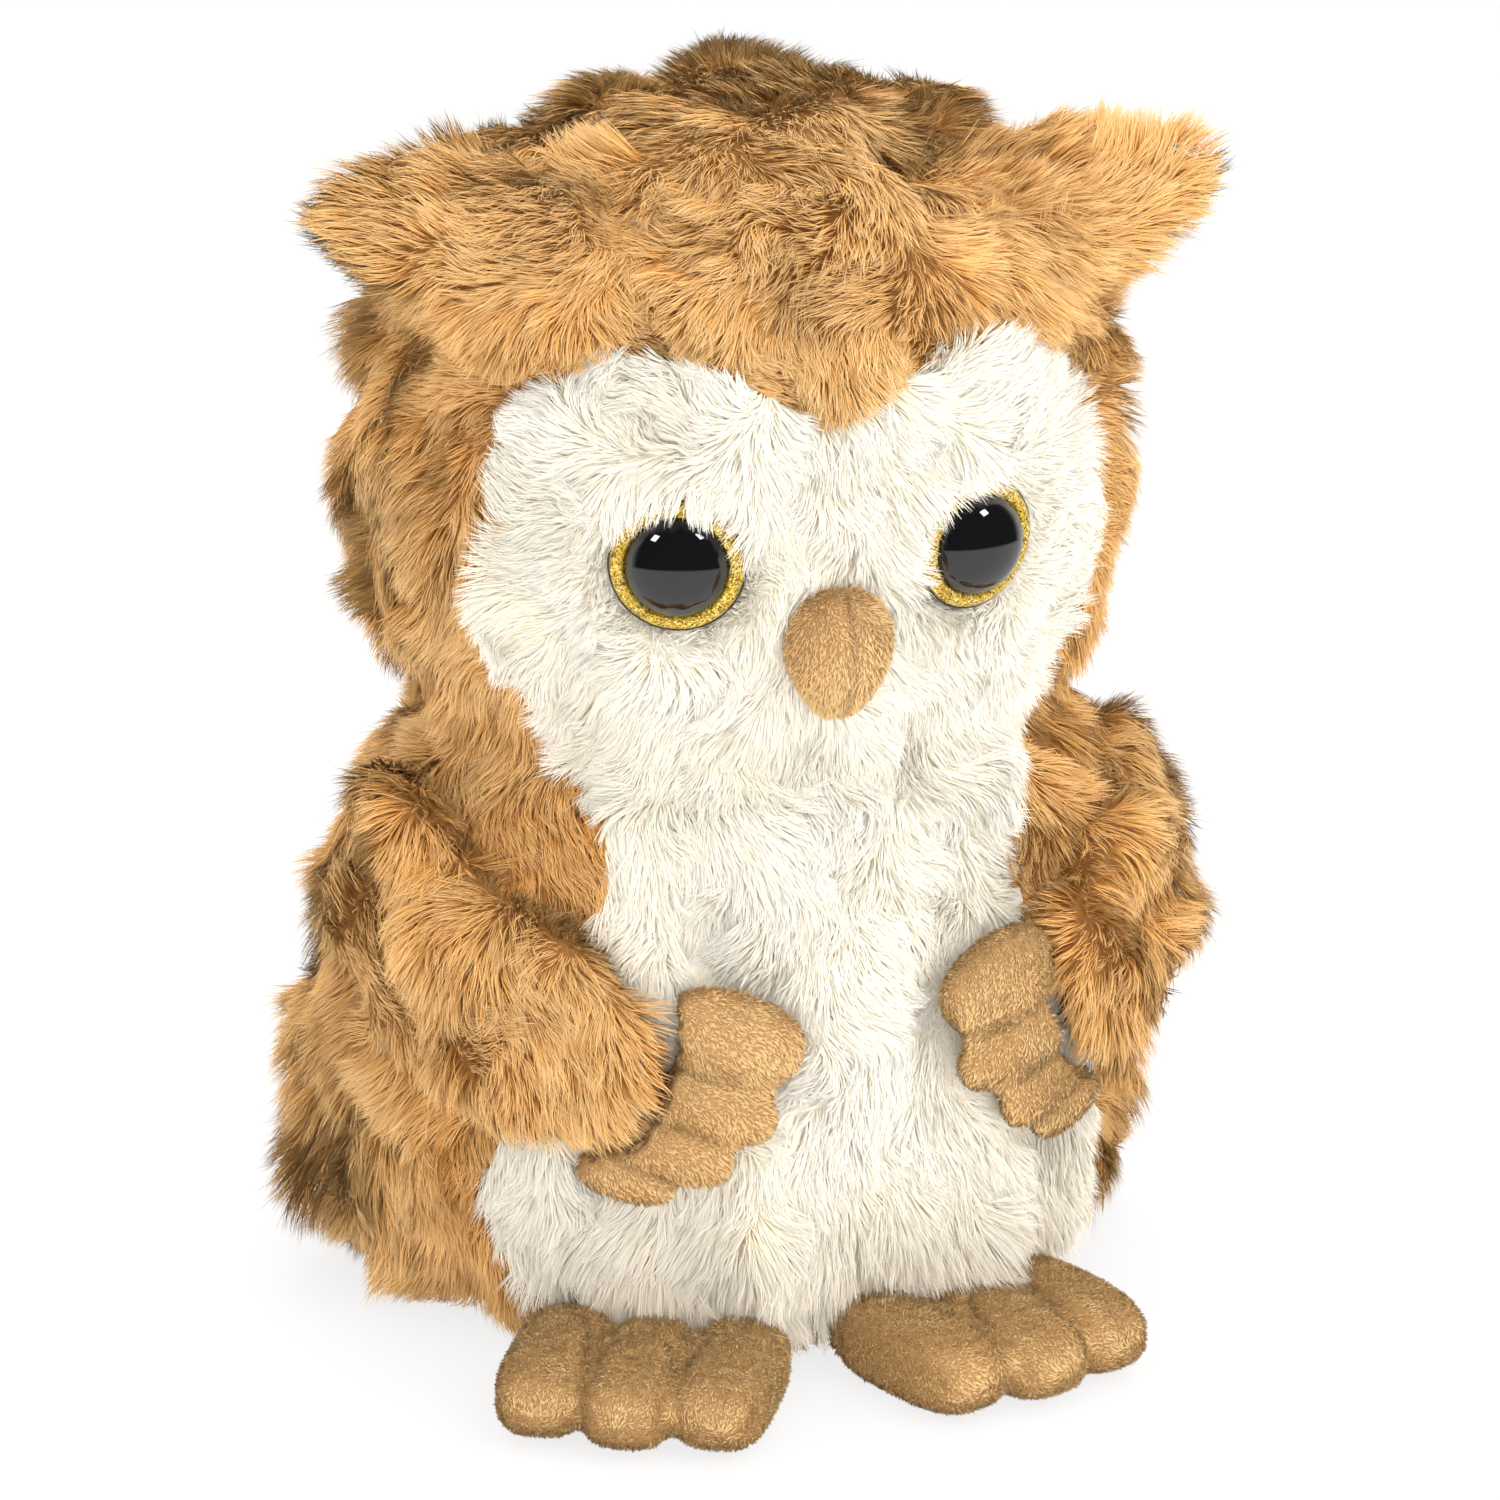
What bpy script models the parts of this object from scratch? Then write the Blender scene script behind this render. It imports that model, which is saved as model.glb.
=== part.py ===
"""Plush owl: sewn plush covers over fibre stuffing, with domed eyes, ear tufts, arms and feet.

Metres, +Z up. The owl faces -Y and stands on z = 0 with its midline at x = 0. Left and right are
the owl's own, so its left side lies at +X. Each cover's surface here is the middle of its pile.
"""

from math import acos, cos, pi, radians, sin

import bmesh
import bpy
from mathutils import Matrix, Vector

# Sewing
SEAM_GAP = 0.0003
COVER_WALL = 0.006
REACH = 0.4

# Torso
NECK_HEIGHT = 0.113
TORSO_HALF_WIDTH = 0.080
TORSO_HALF_DEPTH = 0.073
TORSO_LEAN = 0.013
# Each ring: height share of the neck height, width share, depth share
TORSO_RING_SHARES = (
    (-0.12, 0.00, 0.00),
    (-0.11, 0.56, 0.56),
    (0.02, 0.90, 0.92),
    (0.30, 1.00, 1.00),
    (0.58, 0.96, 0.95),
    (0.86, 0.84, 0.84),
    (1.10, 0.76, 0.76),
    (1.22, 0.40, 0.40),
    (1.24, 0.00, 0.00),
)
# Right half of the belly panel, from the neck down: width share, height share
BELLY_OUTLINE_SHARES = (
    (0.49, 1.15),
    (0.47, 0.84),
    (0.62, 0.60),
    (0.78, 0.36),
    (0.74, 0.17),
    (0.50, 0.07),
    (0.00, 0.045),
)

# Base and weighting
BASE_THICKNESS = 0.003
POUCH_HALF_WIDTH = 0.030
POUCH_HALF_DEPTH = 0.028
POUCH_HEIGHT = 0.020

# Head
HEAD_HEIGHT = 0.118
HEAD_HALF_WIDTH = 0.074
HEAD_HALF_DEPTH = 0.065
# Each ring: height share above the neck, width share, depth share
HEAD_RING_SHARES = (
    (-0.16, 0.00, 0.00),
    (-0.14, 0.50, 0.50),
    (0.01, 0.86, 0.84),
    (0.25, 0.99, 0.99),
    (0.52, 1.00, 1.00),
    (0.77, 0.90, 0.91),
    (0.94, 0.62, 0.64),
    (1.01, 0.26, 0.28),
    (1.02, 0.00, 0.00),
)
# Right half of the face panel, from the brow's peak down: width share, height share
FACE_OUTLINE_SHARES = (
    (0.00, 0.60),
    (0.20, 0.67),
    (0.48, 0.70),
    (0.76, 0.59),
    (0.81, 0.40),
    (0.77, 0.18),
    (0.62, 0.04),
    (0.50, -0.14),
)

# Eyes, on a safety eye's usual sizes
EYE_SPACING = 0.028
EYE_HEIGHT_SHARE = 0.36
EYE_SINK = 0.0025
PUPIL_RADIUS = 0.0102
DOME_HEIGHT = 0.0075
RING_RADIUS = 0.0123
RING_HEIGHT = 0.0022
STEM_RADIUS = 0.0026
STEM_LENGTH = 0.015
WASHER_RADIUS = 0.009
WASHER_THICKNESS = 0.0016
WASHER_DEPTH_SHARE = 1.2
TURNED_STEPS = 20
DOME_POINTS = 5

# Beak
BEAK_HEIGHT = 0.026
BEAK_HALF_WIDTH = 0.0105
BEAK_PROUD = 0.014
BEAK_TIP_SHARE = 0.11
# Each ring: height share of the beak, width share, depth share
BEAK_RING_SHARES = (
    (0.00, 0.00, 0.00),
    (0.02, 0.28, 0.42),
    (0.18, 0.66, 0.86),
    (0.48, 1.00, 1.00),
    (0.78, 0.86, 0.80),
    (0.98, 0.45, 0.50),
    (1.04, 0.00, 0.00),
)

# Ear tufts
EAR_LENGTH = 0.042
EAR_HALF_THICKNESS = 0.012
EAR_HALF_WIDTH = 0.025
EAR_RISE = radians(9)
EAR_SLOPE = radians(26)
# Place of the root's middle, as shares of the head's half width, half depth and height
EAR_ROOT_SHARES = (0.55, -0.34, 0.79)
# Each ring: share of the length, thickness share, width share
EAR_RING_SHARES = (
    (-0.06, 0.00, 0.00),
    (0.00, 0.90, 0.90),
    (0.30, 1.00, 0.96),
    (0.62, 0.88, 0.70),
    (0.90, 0.60, 0.42),
    (0.99, 0.30, 0.20),
    (1.00, 0.00, 0.00),
)

# Arms
ARM_HALF_WIDTH = 0.024
ARM_HALF_THICKNESS = 0.0115
ARM_WALL = 0.004
ARM_SINK_SHARE = 0.35
ARM_HINGE_ANGLE = radians(-22)
ARM_HINGE_SHARE = 0.88
# Each ring: degrees forward of the side, height share of the neck height, width, thickness
ARM_RING_SHARES = (
    (0.0, 0.930, 0.00, 0.00),
    (1.0, 0.920, 0.50, 0.40),
    (8.0, 0.840, 0.88, 0.72),
    (22.0, 0.730, 1.03, 0.96),
    (44.0, 0.615, 0.98, 1.00),
    (60.0, 0.575, 0.84, 0.84),
    (65.0, 0.560, 0.50, 0.50),
    (66.0, 0.555, 0.00, 0.00),
)
# Each finger, from the top one down: degrees, height share, width share, length share
FINGER_SHARES = (
    (74.0, 0.620, 1.00, 1.00),
    (71.5, 0.510, 0.78, 0.98),
    (66.5, 0.430, 0.70, 0.86),
    (60.0, 0.385, 0.62, 0.70),
)
FINGER_HALF_WIDTH = 0.0096
FINGER_HALF_THICKNESS = 0.0075
FINGER_HALF_LENGTH = 0.0142
# How far each side's arm reaches round the belly, and how high its hand is held
ARM_REACH_SHARES = {"right": 1.00, "left": 0.86}
HAND_LIFT = {"right": 0.0, "left": 0.004}

# Feet
TOE_RADIUS = 0.0094
TOE_PITCH = 0.0165
TOE_LENGTH = 0.036
TOE_LIFT_SHARE = 0.86
MIDDLE_TOE_REACH = 0.003
# The pad that joins the toes' backs, and the stuffing inside it
FOOT_PAD_RADIUS = 0.0088
FOOT_PAD_LENGTH = 0.048
FOOT_PAD_SETBACK = 0.010
FOOT_PAD_SPREAD_SHARE = 2.6
FOOT_WALL = 0.004
# Each foot: sideways and forward place of the toe tips, and the angle it is splayed by
TOE_TIP_SHARES = {"right": (-0.60, -1.22), "left": (0.47, -1.19)}
FOOT_SPLAY = {"right": radians(27), "left": radians(20)}
FOOT_HINGE_SHARE = 0.97
ROD_RING_SHARES = (
    (0.00, 0.00),
    (0.04, 0.66),
    (0.42, 1.04),
    (0.93, 0.68),
    (1.00, 0.00),
)

# Cages
SOFTEN_LEVELS = 1
OUTLINE_STEPS = 3
BODY_SIDES = 12
LINING_SIDES = 8
LIMB_SIDES = 8
FINGER_SIDES = 6
SIDES = {"right": -1.0, "left": 1.0}


def plain_material(name, colour, roughness, sheen=0.0):
    material = bpy.data.materials.new(name)
    material.use_nodes = True
    shader = material.node_tree.nodes["Principled BSDF"]
    shader.inputs["Base Color"].default_value = (*colour, 1)
    shader.inputs["Roughness"].default_value = roughness
    shader.inputs["Metallic"].default_value = 0
    shader.inputs["Sheen Weight"].default_value = sheen
    return material


def clear_scene():
    for thing in list(bpy.data.objects):
        bpy.data.objects.remove(thing, do_unlink=True)


def new_collection(name):
    collection = bpy.data.collections.new(name)
    bpy.context.scene.collection.children.link(collection)
    return collection


class Workshop:
    """The collections, the materials and the guides that the pieces are cut with."""

    def __init__(self):
        self.parts = new_collection("plush_owl")
        self.cutters = new_collection("cutters")
        self.brown = plain_material("brown_plush", (0.50, 0.28, 0.11), 0.95, 0.4)
        self.white = plain_material("white_plush", (0.90, 0.87, 0.78), 0.95, 0.4)
        self.tan = plain_material("tan_short_pile", (0.48, 0.32, 0.15), 0.9, 0.3)
        self.fibre = plain_material("white_fibre", (0.86, 0.86, 0.84), 1.0)
        self.pellets = plain_material("pellet_cloth", (0.75, 0.74, 0.70), 0.8)
        self.black = plain_material("black_dome", (0.008, 0.008, 0.009), 0.06)
        self.glitter = plain_material("gold_glitter", (0.75, 0.52, 0.08), 0.3)
        self.nylon = plain_material("washer_nylon", (0.82, 0.82, 0.80), 0.45)

    def hidden(self, thing):
        """Keeps an object as a cutter or a guide."""
        thing.hide_render = True
        thing.display_type = "WIRE"
        self.cutters.objects.link(thing)
        return thing

    def shown(self, thing, material, parent=None):
        """Makes an object one of the owl's pieces."""
        thing.data.materials.clear()
        thing.data.materials.append(material)
        self.parts.objects.link(thing)
        if parent:
            thing.parent = parent
            thing.matrix_parent_inverse = parent.matrix_world.inverted()
        return thing

    def pivot(self, name, place, parent=None):
        """An empty on a joint's axis."""
        empty = bpy.data.objects.new(name, None)
        empty.empty_display_size = COVER_WALL
        empty.location = place
        self.parts.objects.link(empty)
        bpy.context.view_layer.update()
        if parent:
            empty.parent = parent
            empty.matrix_parent_inverse = parent.matrix_world.inverted()
            bpy.context.view_layer.update()
        return empty


def ring(centre, across, through):
    return Vector(centre), Vector(across), Vector(through)


def soft_form(name, rings, sides):
    """A closed soft form: a sphere's rings moved to the given ones, then subdivided."""
    bm = bmesh.new()
    last = len(rings) - 1
    bmesh.ops.create_uvsphere(bm, u_segments=sides, v_segments=last, radius=1)
    # A subdivided ring shrinks by this share, so the cage is made larger
    shrink = 2 / 3 + cos(2 * pi / sides) / 3
    for vert in bm.verts:
        row = round(last * (1 - acos(max(-1, min(1, vert.co.z))) / pi))
        centre, across, through = rings[row]
        around = Vector((vert.co.x, vert.co.y))
        if around.length > 0:
            around = around.normalized() / shrink
        vert.co = centre + across * around.x + through * around.y
    bmesh.ops.recalc_face_normals(bm, faces=bm.faces)
    if bm.calc_volume(signed=True) < 0:
        bmesh.ops.reverse_faces(bm, faces=bm.faces)
    mesh = bpy.data.meshes.new(name)
    bm.to_mesh(mesh)
    bm.free()
    mesh.shade_smooth()
    thing = bpy.data.objects.new(name, mesh)
    soften = thing.modifiers.new("Soften", "SUBSURF")
    soften.levels = SOFTEN_LEVELS
    soften.render_levels = SOFTEN_LEVELS
    return thing


def grown(shop, form, amount):
    """A copy of a form, larger all round by this amount, to cut its neighbours with."""
    copy = form.copy()
    copy.name = form.name + "_grown"
    grow = copy.modifiers.new("Grow", "DISPLACE")
    grow.mid_level = 0
    grow.strength = amount
    return shop.hidden(copy)


def copy_of(form, name):
    copy = form.copy()
    copy.data = form.data.copy()
    copy.name = name
    copy.hide_render = False
    copy.display_type = "TEXTURED"
    return copy


def combine(thing, other, operation="DIFFERENCE"):
    boolean = thing.modifiers.new(operation.title() + " " + other.name, "BOOLEAN")
    boolean.operation = operation
    boolean.object = other
    boolean.solver = "EXACT"
    return thing


def slab(shop, name, low, high):
    """A box that covers everything between two heights."""
    bm = bmesh.new()
    bmesh.ops.create_cube(bm, size=1)
    for vert in bm.verts:
        height = high if vert.co.z > 0 else low
        vert.co = Vector((vert.co.x * 2 * REACH, vert.co.y * 2 * REACH, height))
    mesh = bpy.data.meshes.new(name)
    bm.to_mesh(mesh)
    bm.free()
    return shop.hidden(bpy.data.objects.new(name, mesh))


def prism(shop, name, half_outline, sharp_first):
    """A prism over the owl's front, with a mirrored outline seen from the front."""
    mirrored = [(-x, z) for x, z in reversed(half_outline) if x > 0]
    points = list(half_outline) + mirrored
    curve = bpy.data.curves.new(name + "_outline", "CURVE")
    curve.dimensions = "2D"
    curve.fill_mode = "BOTH"
    curve.extrude = REACH / 2
    curve.resolution_u = OUTLINE_STEPS
    spline = curve.splines.new("BEZIER")
    spline.bezier_points.add(len(points) - 1)
    spline.use_cyclic_u = True
    for index, (knot, (x, z)) in enumerate(zip(spline.bezier_points, points)):
        knot.co = (x, z, 0)
        handle = "VECTOR" if sharp_first and index == 0 else "AUTO"
        knot.handle_left_type = handle
        knot.handle_right_type = handle
    guide = bpy.data.objects.new(name + "_outline", curve)
    guide.rotation_euler = (pi / 2, 0, 0)
    guide.location = (0, -REACH / 2, 0)
    shop.hidden(guide)
    bpy.context.view_layer.update()
    graph = bpy.context.evaluated_depsgraph_get()
    mesh = bpy.data.meshes.new_from_object(guide.evaluated_get(graph))
    bm = bmesh.new()
    bm.from_mesh(mesh)
    bmesh.ops.remove_doubles(bm, verts=bm.verts, dist=SEAM_GAP / 10)
    bmesh.ops.recalc_face_normals(bm, faces=bm.faces)
    bm.to_mesh(mesh)
    bm.free()
    cutter = bpy.data.objects.new(name, mesh)
    cutter.matrix_world = guide.matrix_world.copy()
    bpy.data.objects.remove(guide, do_unlink=True)
    return shop.hidden(cutter)


def surface_point(form, start, towards):
    """Where a ray meets a form, and the form's normal there."""
    bpy.context.view_layer.update()
    graph = bpy.context.evaluated_depsgraph_get()
    hit, place, normal, _ = form.evaluated_get(graph).ray_cast(Vector(start), Vector(towards))
    if not hit:
        raise ValueError(f"nothing of {form.name} lies that way")
    return place, normal


def turned(name, profile, closed):
    """A turned piece: a profile given as radius and height, from its top down its outer side."""
    bm = bmesh.new()
    verts = [bm.verts.new((radius, 0, height)) for radius, height in profile]
    for first, second in zip(verts, verts[1:]):
        bm.edges.new((first, second))
    if closed:
        bm.edges.new((verts[-1], verts[0]))
    mesh = bpy.data.meshes.new(name)
    bm.to_mesh(mesh)
    bm.free()
    thing = bpy.data.objects.new(name, mesh)
    screw = thing.modifiers.new("Turn", "SCREW")
    screw.steps = TURNED_STEPS
    screw.render_steps = TURNED_STEPS
    screw.use_merge_vertices = True
    screw.merge_threshold = SEAM_GAP / 10
    screw.use_smooth_shade = True
    return thing


def cylinder(shop, name, radius, low, high, mount):
    """A cutter along a mount's own axis."""
    bm = bmesh.new()
    bmesh.ops.create_cone(
        bm, cap_ends=True, segments=TURNED_STEPS, radius1=radius, radius2=radius, depth=high - low
    )
    bmesh.ops.translate(bm, verts=bm.verts, vec=(0, 0, (low + high) / 2))
    mesh = bpy.data.meshes.new(name)
    bm.to_mesh(mesh)
    bm.free()
    cutter = bpy.data.objects.new(name, mesh)
    cutter.matrix_world = mount
    return shop.hidden(cutter)


def stacked_rings(shares, base, height, half_width, half_depth, lean, inset):
    """Level rings, each drawn in by the inset, also at the two ends."""
    low = base + height * shares[0][0] + inset
    high = base + height * shares[-1][0] - inset
    rings = []
    for level, wide, deep in shares:
        z = max(low, min(high, base + height * level))
        across = max(half_width * wide - inset, 0) if wide else 0
        through = max(half_depth * deep - inset, 0) if deep else 0
        rings.append(ring((0, lean * (1 - level), z), (across, 0, 0), (0, through, 0)))
    return rings


def torso_form(name, inset):
    rings = stacked_rings(
        TORSO_RING_SHARES, 0, NECK_HEIGHT, TORSO_HALF_WIDTH, TORSO_HALF_DEPTH, TORSO_LEAN, inset
    )
    return soft_form(name, rings, LINING_SIDES if inset else BODY_SIDES)


def head_form(name, inset):
    rings = stacked_rings(
        HEAD_RING_SHARES, NECK_HEIGHT, HEAD_HEIGHT, HEAD_HALF_WIDTH, HEAD_HALF_DEPTH, 0, inset
    )
    return soft_form(name, rings, LINING_SIDES if inset else BODY_SIDES)


def build_torso(shop, form):
    """The body cover, belly panel, base panel, stuffing and pellet pouch."""
    below = slab(shop, "below_floor", -REACH, 0)
    above = slab(shop, "above_neck", NECK_HEIGHT, REACH)
    cavity = shop.hidden(torso_form("torso_cavity", COVER_WALL))
    outline = [(x * TORSO_HALF_WIDTH, z * NECK_HEIGHT) for x, z in BELLY_OUTLINE_SHARES]
    belly = prism(shop, "belly_prism", outline, False)

    skin = copy_of(form, "body_skin")
    panel = copy_of(form, "belly_panel")
    for cover in (skin, panel):
        combine(cover, cavity)
        combine(cover, below)
        combine(cover, above)
    combine(skin, grown(shop, belly, SEAM_GAP))
    combine(panel, belly, "INTERSECT")
    shop.shown(skin, shop.brown)
    shop.shown(panel, shop.white)

    base = torso_form("base_panel", COVER_WALL + SEAM_GAP)
    combine(base, slab(shop, "base_slice", 0, BASE_THICKNESS), "INTERSECT")
    shop.shown(base, shop.tan)

    floor = BASE_THICKNESS + SEAM_GAP
    middle = floor + POUCH_HEIGHT / 2
    pouch_rings = [
        ring(
            (0, TORSO_LEAN, middle + (along - 1 / 2) * POUCH_HEIGHT),
            (POUCH_HALF_WIDTH * wide, 0, 0),
            (0, POUCH_HALF_DEPTH * wide, 0),
        )
        for along, wide in ROD_RING_SHARES
    ]
    pouch = soft_form("pellet_pouch", pouch_rings, LINING_SIDES)
    under = slab(shop, "under_pouch", -REACH, floor)
    room = grown(shop, pouch, SEAM_GAP)
    combine(pouch, under)
    shop.shown(pouch, shop.pellets)

    filling = torso_form("body_stuffing", COVER_WALL + SEAM_GAP)
    combine(filling, slab(shop, "filled", floor, NECK_HEIGHT - SEAM_GAP), "INTERSECT")
    combine(filling, room)
    shop.shown(filling, shop.fibre)


def build_eye(shop, side, form, neck):
    """One eye's dome, ring and washer. Returns the cutters for the panel and the stuffing."""
    name, sign = side
    z = NECK_HEIGHT + HEAD_HEIGHT * EYE_HEIGHT_SHARE
    place, normal = surface_point(form, (sign * EYE_SPACING, -REACH, z), (0, 1, 0))
    turn = normal.to_track_quat("Z", "Y").to_matrix().to_4x4()
    mount = Matrix.Translation(place - normal * EYE_SINK) @ turn
    angles = [step * pi / 2 / DOME_POINTS for step in range(DOME_POINTS)]
    dome = [(PUPIL_RADIUS * sin(angle), DOME_HEIGHT * cos(angle)) for angle in angles]
    profile = dome + [
        (PUPIL_RADIUS, 0),
        (STEM_RADIUS, 0),
        (STEM_RADIUS, -STEM_LENGTH),
        (0, -STEM_LENGTH),
    ]
    pupil = turned("eye_dome_" + name, profile, False)
    inner = PUPIL_RADIUS + SEAM_GAP
    bezel = turned(
        "eye_ring_" + name,
        [(inner, RING_HEIGHT), (RING_RADIUS, RING_HEIGHT / 2), (RING_RADIUS, 0), (inner, 0)],
        True,
    )
    front = -COVER_WALL * WASHER_DEPTH_SHARE + EYE_SINK
    back = front - WASHER_THICKNESS
    hole = STEM_RADIUS + SEAM_GAP
    washer = turned(
        "eye_washer_" + name,
        [(hole, front), (WASHER_RADIUS, front), (WASHER_RADIUS, back), (hole, back)],
        True,
    )
    for piece, material in ((pupil, shop.black), (bezel, shop.glitter), (washer, shop.nylon)):
        piece.matrix_world = mount
        shop.shown(piece, material, neck)
    seat = cylinder(shop, "eye_seat_" + name, RING_RADIUS + SEAM_GAP, -SEAM_GAP, REACH / 4, mount)
    stem = cylinder(shop, "stem_hole_" + name, hole, -STEM_LENGTH - SEAM_GAP, REACH / 4, mount)
    wide, deep = WASHER_RADIUS + SEAM_GAP, back - SEAM_GAP
    pocket = cylinder(shop, "washer_pocket_" + name, wide, deep, front + SEAM_GAP, mount)
    shaft = cylinder(shop, "washer_way_" + name, wide, deep, REACH / 4, mount)
    return (seat, stem, pocket), (stem, shaft)


def build_beak(shop, form, clear, neck):
    tip = NECK_HEIGHT + HEAD_HEIGHT * BEAK_TIP_SHARE
    rings = []
    for level, wide, deep in BEAK_RING_SHARES:
        z = tip + BEAK_HEIGHT * level
        place, _ = surface_point(form, (0, -REACH, z), (0, 1, 0))
        rings.append(ring(place, (BEAK_HALF_WIDTH * wide, 0, 0), (0, BEAK_PROUD * deep, 0)))
    beak = soft_form("beak", rings, LIMB_SIDES)
    combine(beak, clear)
    shop.shown(beak, shop.tan, neck)


def build_head(shop, form, neck):
    """The head cover, face panel, stuffing, eyes and beak."""
    below = slab(shop, "below_neck", -REACH, NECK_HEIGHT + SEAM_GAP)
    cavity = shop.hidden(head_form("head_cavity", COVER_WALL))
    outline = [
        (x * HEAD_HALF_WIDTH, NECK_HEIGHT + z * HEAD_HEIGHT) for x, z in FACE_OUTLINE_SHARES
    ]
    face = prism(shop, "face_prism", outline, True)
    skin = copy_of(form, "head_skin")
    panel = copy_of(form, "face_panel")
    for cover in (skin, panel):
        combine(cover, cavity)
        combine(cover, below)
    combine(skin, grown(shop, face, SEAM_GAP))
    combine(panel, face, "INTERSECT")
    filling = head_form("head_stuffing", COVER_WALL + SEAM_GAP)
    combine(filling, slab(shop, "under_head_filling", -REACH, NECK_HEIGHT + SEAM_GAP * 2))
    for side in SIDES.items():
        panel_cuts, filling_cuts = build_eye(shop, side, form, neck)
        for cutter in panel_cuts:
            combine(panel, cutter)
        for cutter in filling_cuts:
            combine(filling, cutter)
    shop.shown(skin, shop.brown, neck)
    shop.shown(panel, shop.white, neck)
    shop.shown(filling, shop.fibre, neck)
    clear = grown(shop, form, SEAM_GAP)
    build_beak(shop, form, clear, neck)
    return clear


def build_ear(shop, side, form, clear, neck):
    name, sign = side
    root = Vector((
        sign * HEAD_HALF_WIDTH * EAR_ROOT_SHARES[0],
        HEAD_HALF_DEPTH * EAR_ROOT_SHARES[1],
        NECK_HEIGHT + HEAD_HEIGHT * EAR_ROOT_SHARES[2],
    ))
    out = Vector((sign * cos(EAR_RISE), 0, sin(EAR_RISE)))
    front = Vector((0, -cos(EAR_SLOPE), -sin(EAR_SLOPE)))
    up = Vector((0, -sin(EAR_SLOPE), cos(EAR_SLOPE)))
    rings = [
        ring(
            root + out * EAR_LENGTH * along,
            up * EAR_HALF_THICKNESS * thick,
            front * EAR_HALF_WIDTH * wide,
        )
        for along, thick, wide in EAR_RING_SHARES
    ]
    ear = soft_form("ear_" + name, rings, LIMB_SIDES)
    combine(ear, clear)
    top = root + up * EAR_HALF_THICKNESS
    seam, _ = surface_point(form, top + Vector((sign * REACH, 0, 0)), (-sign, 0, 0))
    shop.shown(ear, shop.brown, shop.pivot("ear_seam_" + name, seam, neck))


def torso_station(form, sign, degrees, height):
    """A point of the torso's side, and the axes there: outward, and level round the front."""
    angle = radians(degrees)
    way = Vector((sign * cos(angle), -sin(angle), 0))
    start = Vector((0, TORSO_LEAN * (1 - height / NECK_HEIGHT), height))
    place, normal = surface_point(form, start + way * REACH, -way)
    return place, normal


def arm_rings(form, sign, reach, lift, inset, extend):
    """Rings along an arm that lies round the torso, drawn in by the inset."""
    last = ARM_RING_SHARES[-1][0]
    stations = []
    for degrees, level, wide, thick in ARM_RING_SHARES:
        height = NECK_HEIGHT * level + lift * degrees / last
        place, normal = torso_station(form, sign, degrees * reach, height)
        middle = place + normal * ARM_HALF_THICKNESS * (1 - ARM_SINK_SHARE)
        stations.append((middle, normal, wide, thick))
    rings = []
    for index, (middle, normal, wide, thick) in enumerate(stations):
        before = stations[max(index - 1, 0)][0]
        after = stations[min(index + 1, len(stations) - 1)][0]
        along = (after - before).normalized()
        across = normal.cross(along).normalized()
        half = max(ARM_HALF_WIDTH * wide - inset, 0) if wide else 0
        deep = max(ARM_HALF_THICKNESS * thick - inset, 0) if thick else 0
        if index == 0:
            middle = middle + along * inset
        if index >= len(stations) - 2:
            middle = middle + along * extend
        rings.append(ring(middle, across * half, normal * deep))
    return rings


def build_hand(shop, name, sign, form, reach, lift, cutters, pivot):
    """Four fingers side by side, joined to one pad."""
    last = ARM_RING_SHARES[-1][0]
    hand = None
    for number, (degrees, level, wide, long) in enumerate(FINGER_SHARES):
        height = NECK_HEIGHT * level + lift * degrees / last
        place, normal = torso_station(form, sign, degrees * reach, height)
        side = Vector((0, 0, 1)).cross(normal).normalized() * sign
        way = (-side - normal.cross(side) * sign / 3).normalized()
        across = normal.cross(way).normalized()
        thick = FINGER_HALF_THICKNESS * wide
        middle = place + normal * thick * (1 - ARM_SINK_SHARE)
        half = FINGER_HALF_LENGTH * long
        rings = [
            ring(
                middle + way * half * (2 * along - 1),
                across * FINGER_HALF_WIDTH * wide * round_share,
                normal * thick * round_share,
            )
            for along, round_share in ROD_RING_SHARES
        ]
        finger = soft_form(f"finger_{name}_{number}", rings, FINGER_SIDES)
        if hand is None:
            hand = finger
            hand.name = "hand_" + name
        else:
            combine(hand, shop.hidden(finger), "UNION")
    for cutter in cutters:
        combine(hand, cutter)
    shop.shown(hand, shop.tan, pivot)


def build_arm(shop, side, form, clear, above):
    """One arm: its sleeve, stuffing and hand, on a pivot at the shoulder seam."""
    name, sign = side
    reach, lift = ARM_REACH_SHARES[name], HAND_LIFT[name]
    way = Vector((sign * cos(ARM_HINGE_ANGLE), -sin(ARM_HINGE_ANGLE), 0))
    height = NECK_HEIGHT * ARM_HINGE_SHARE
    start = Vector((0, TORSO_LEAN * (1 - ARM_HINGE_SHARE), height))
    seam, _ = surface_point(form, start + way * REACH, -way)
    pivot = shop.pivot("shoulder_seam_" + name, seam)
    rings = arm_rings(form, sign, reach, lift, 0, 0)
    outer = soft_form("arm_form_" + name, rings, LIMB_SIDES)
    shop.hidden(outer)
    rings = arm_rings(form, sign, reach, lift, ARM_WALL, ARM_WALL * 2)
    cavity = shop.hidden(soft_form("arm_cavity_" + name, rings, FINGER_SIDES))
    sleeve = copy_of(outer, "arm_sleeve_" + name)
    combine(sleeve, cavity)
    combine(sleeve, clear)
    combine(sleeve, above)
    shop.shown(sleeve, shop.brown, pivot)
    rings = arm_rings(form, sign, reach, lift, ARM_WALL + SEAM_GAP * 2, -ARM_WALL)
    filling = soft_form("arm_stuffing_" + name, rings, FINGER_SIDES)
    combine(filling, clear)
    combine(filling, above)
    shop.shown(filling, shop.fibre, pivot)
    room = grown(shop, outer, SEAM_GAP)
    build_hand(shop, name, sign, form, reach, lift, (room, clear), pivot)


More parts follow.
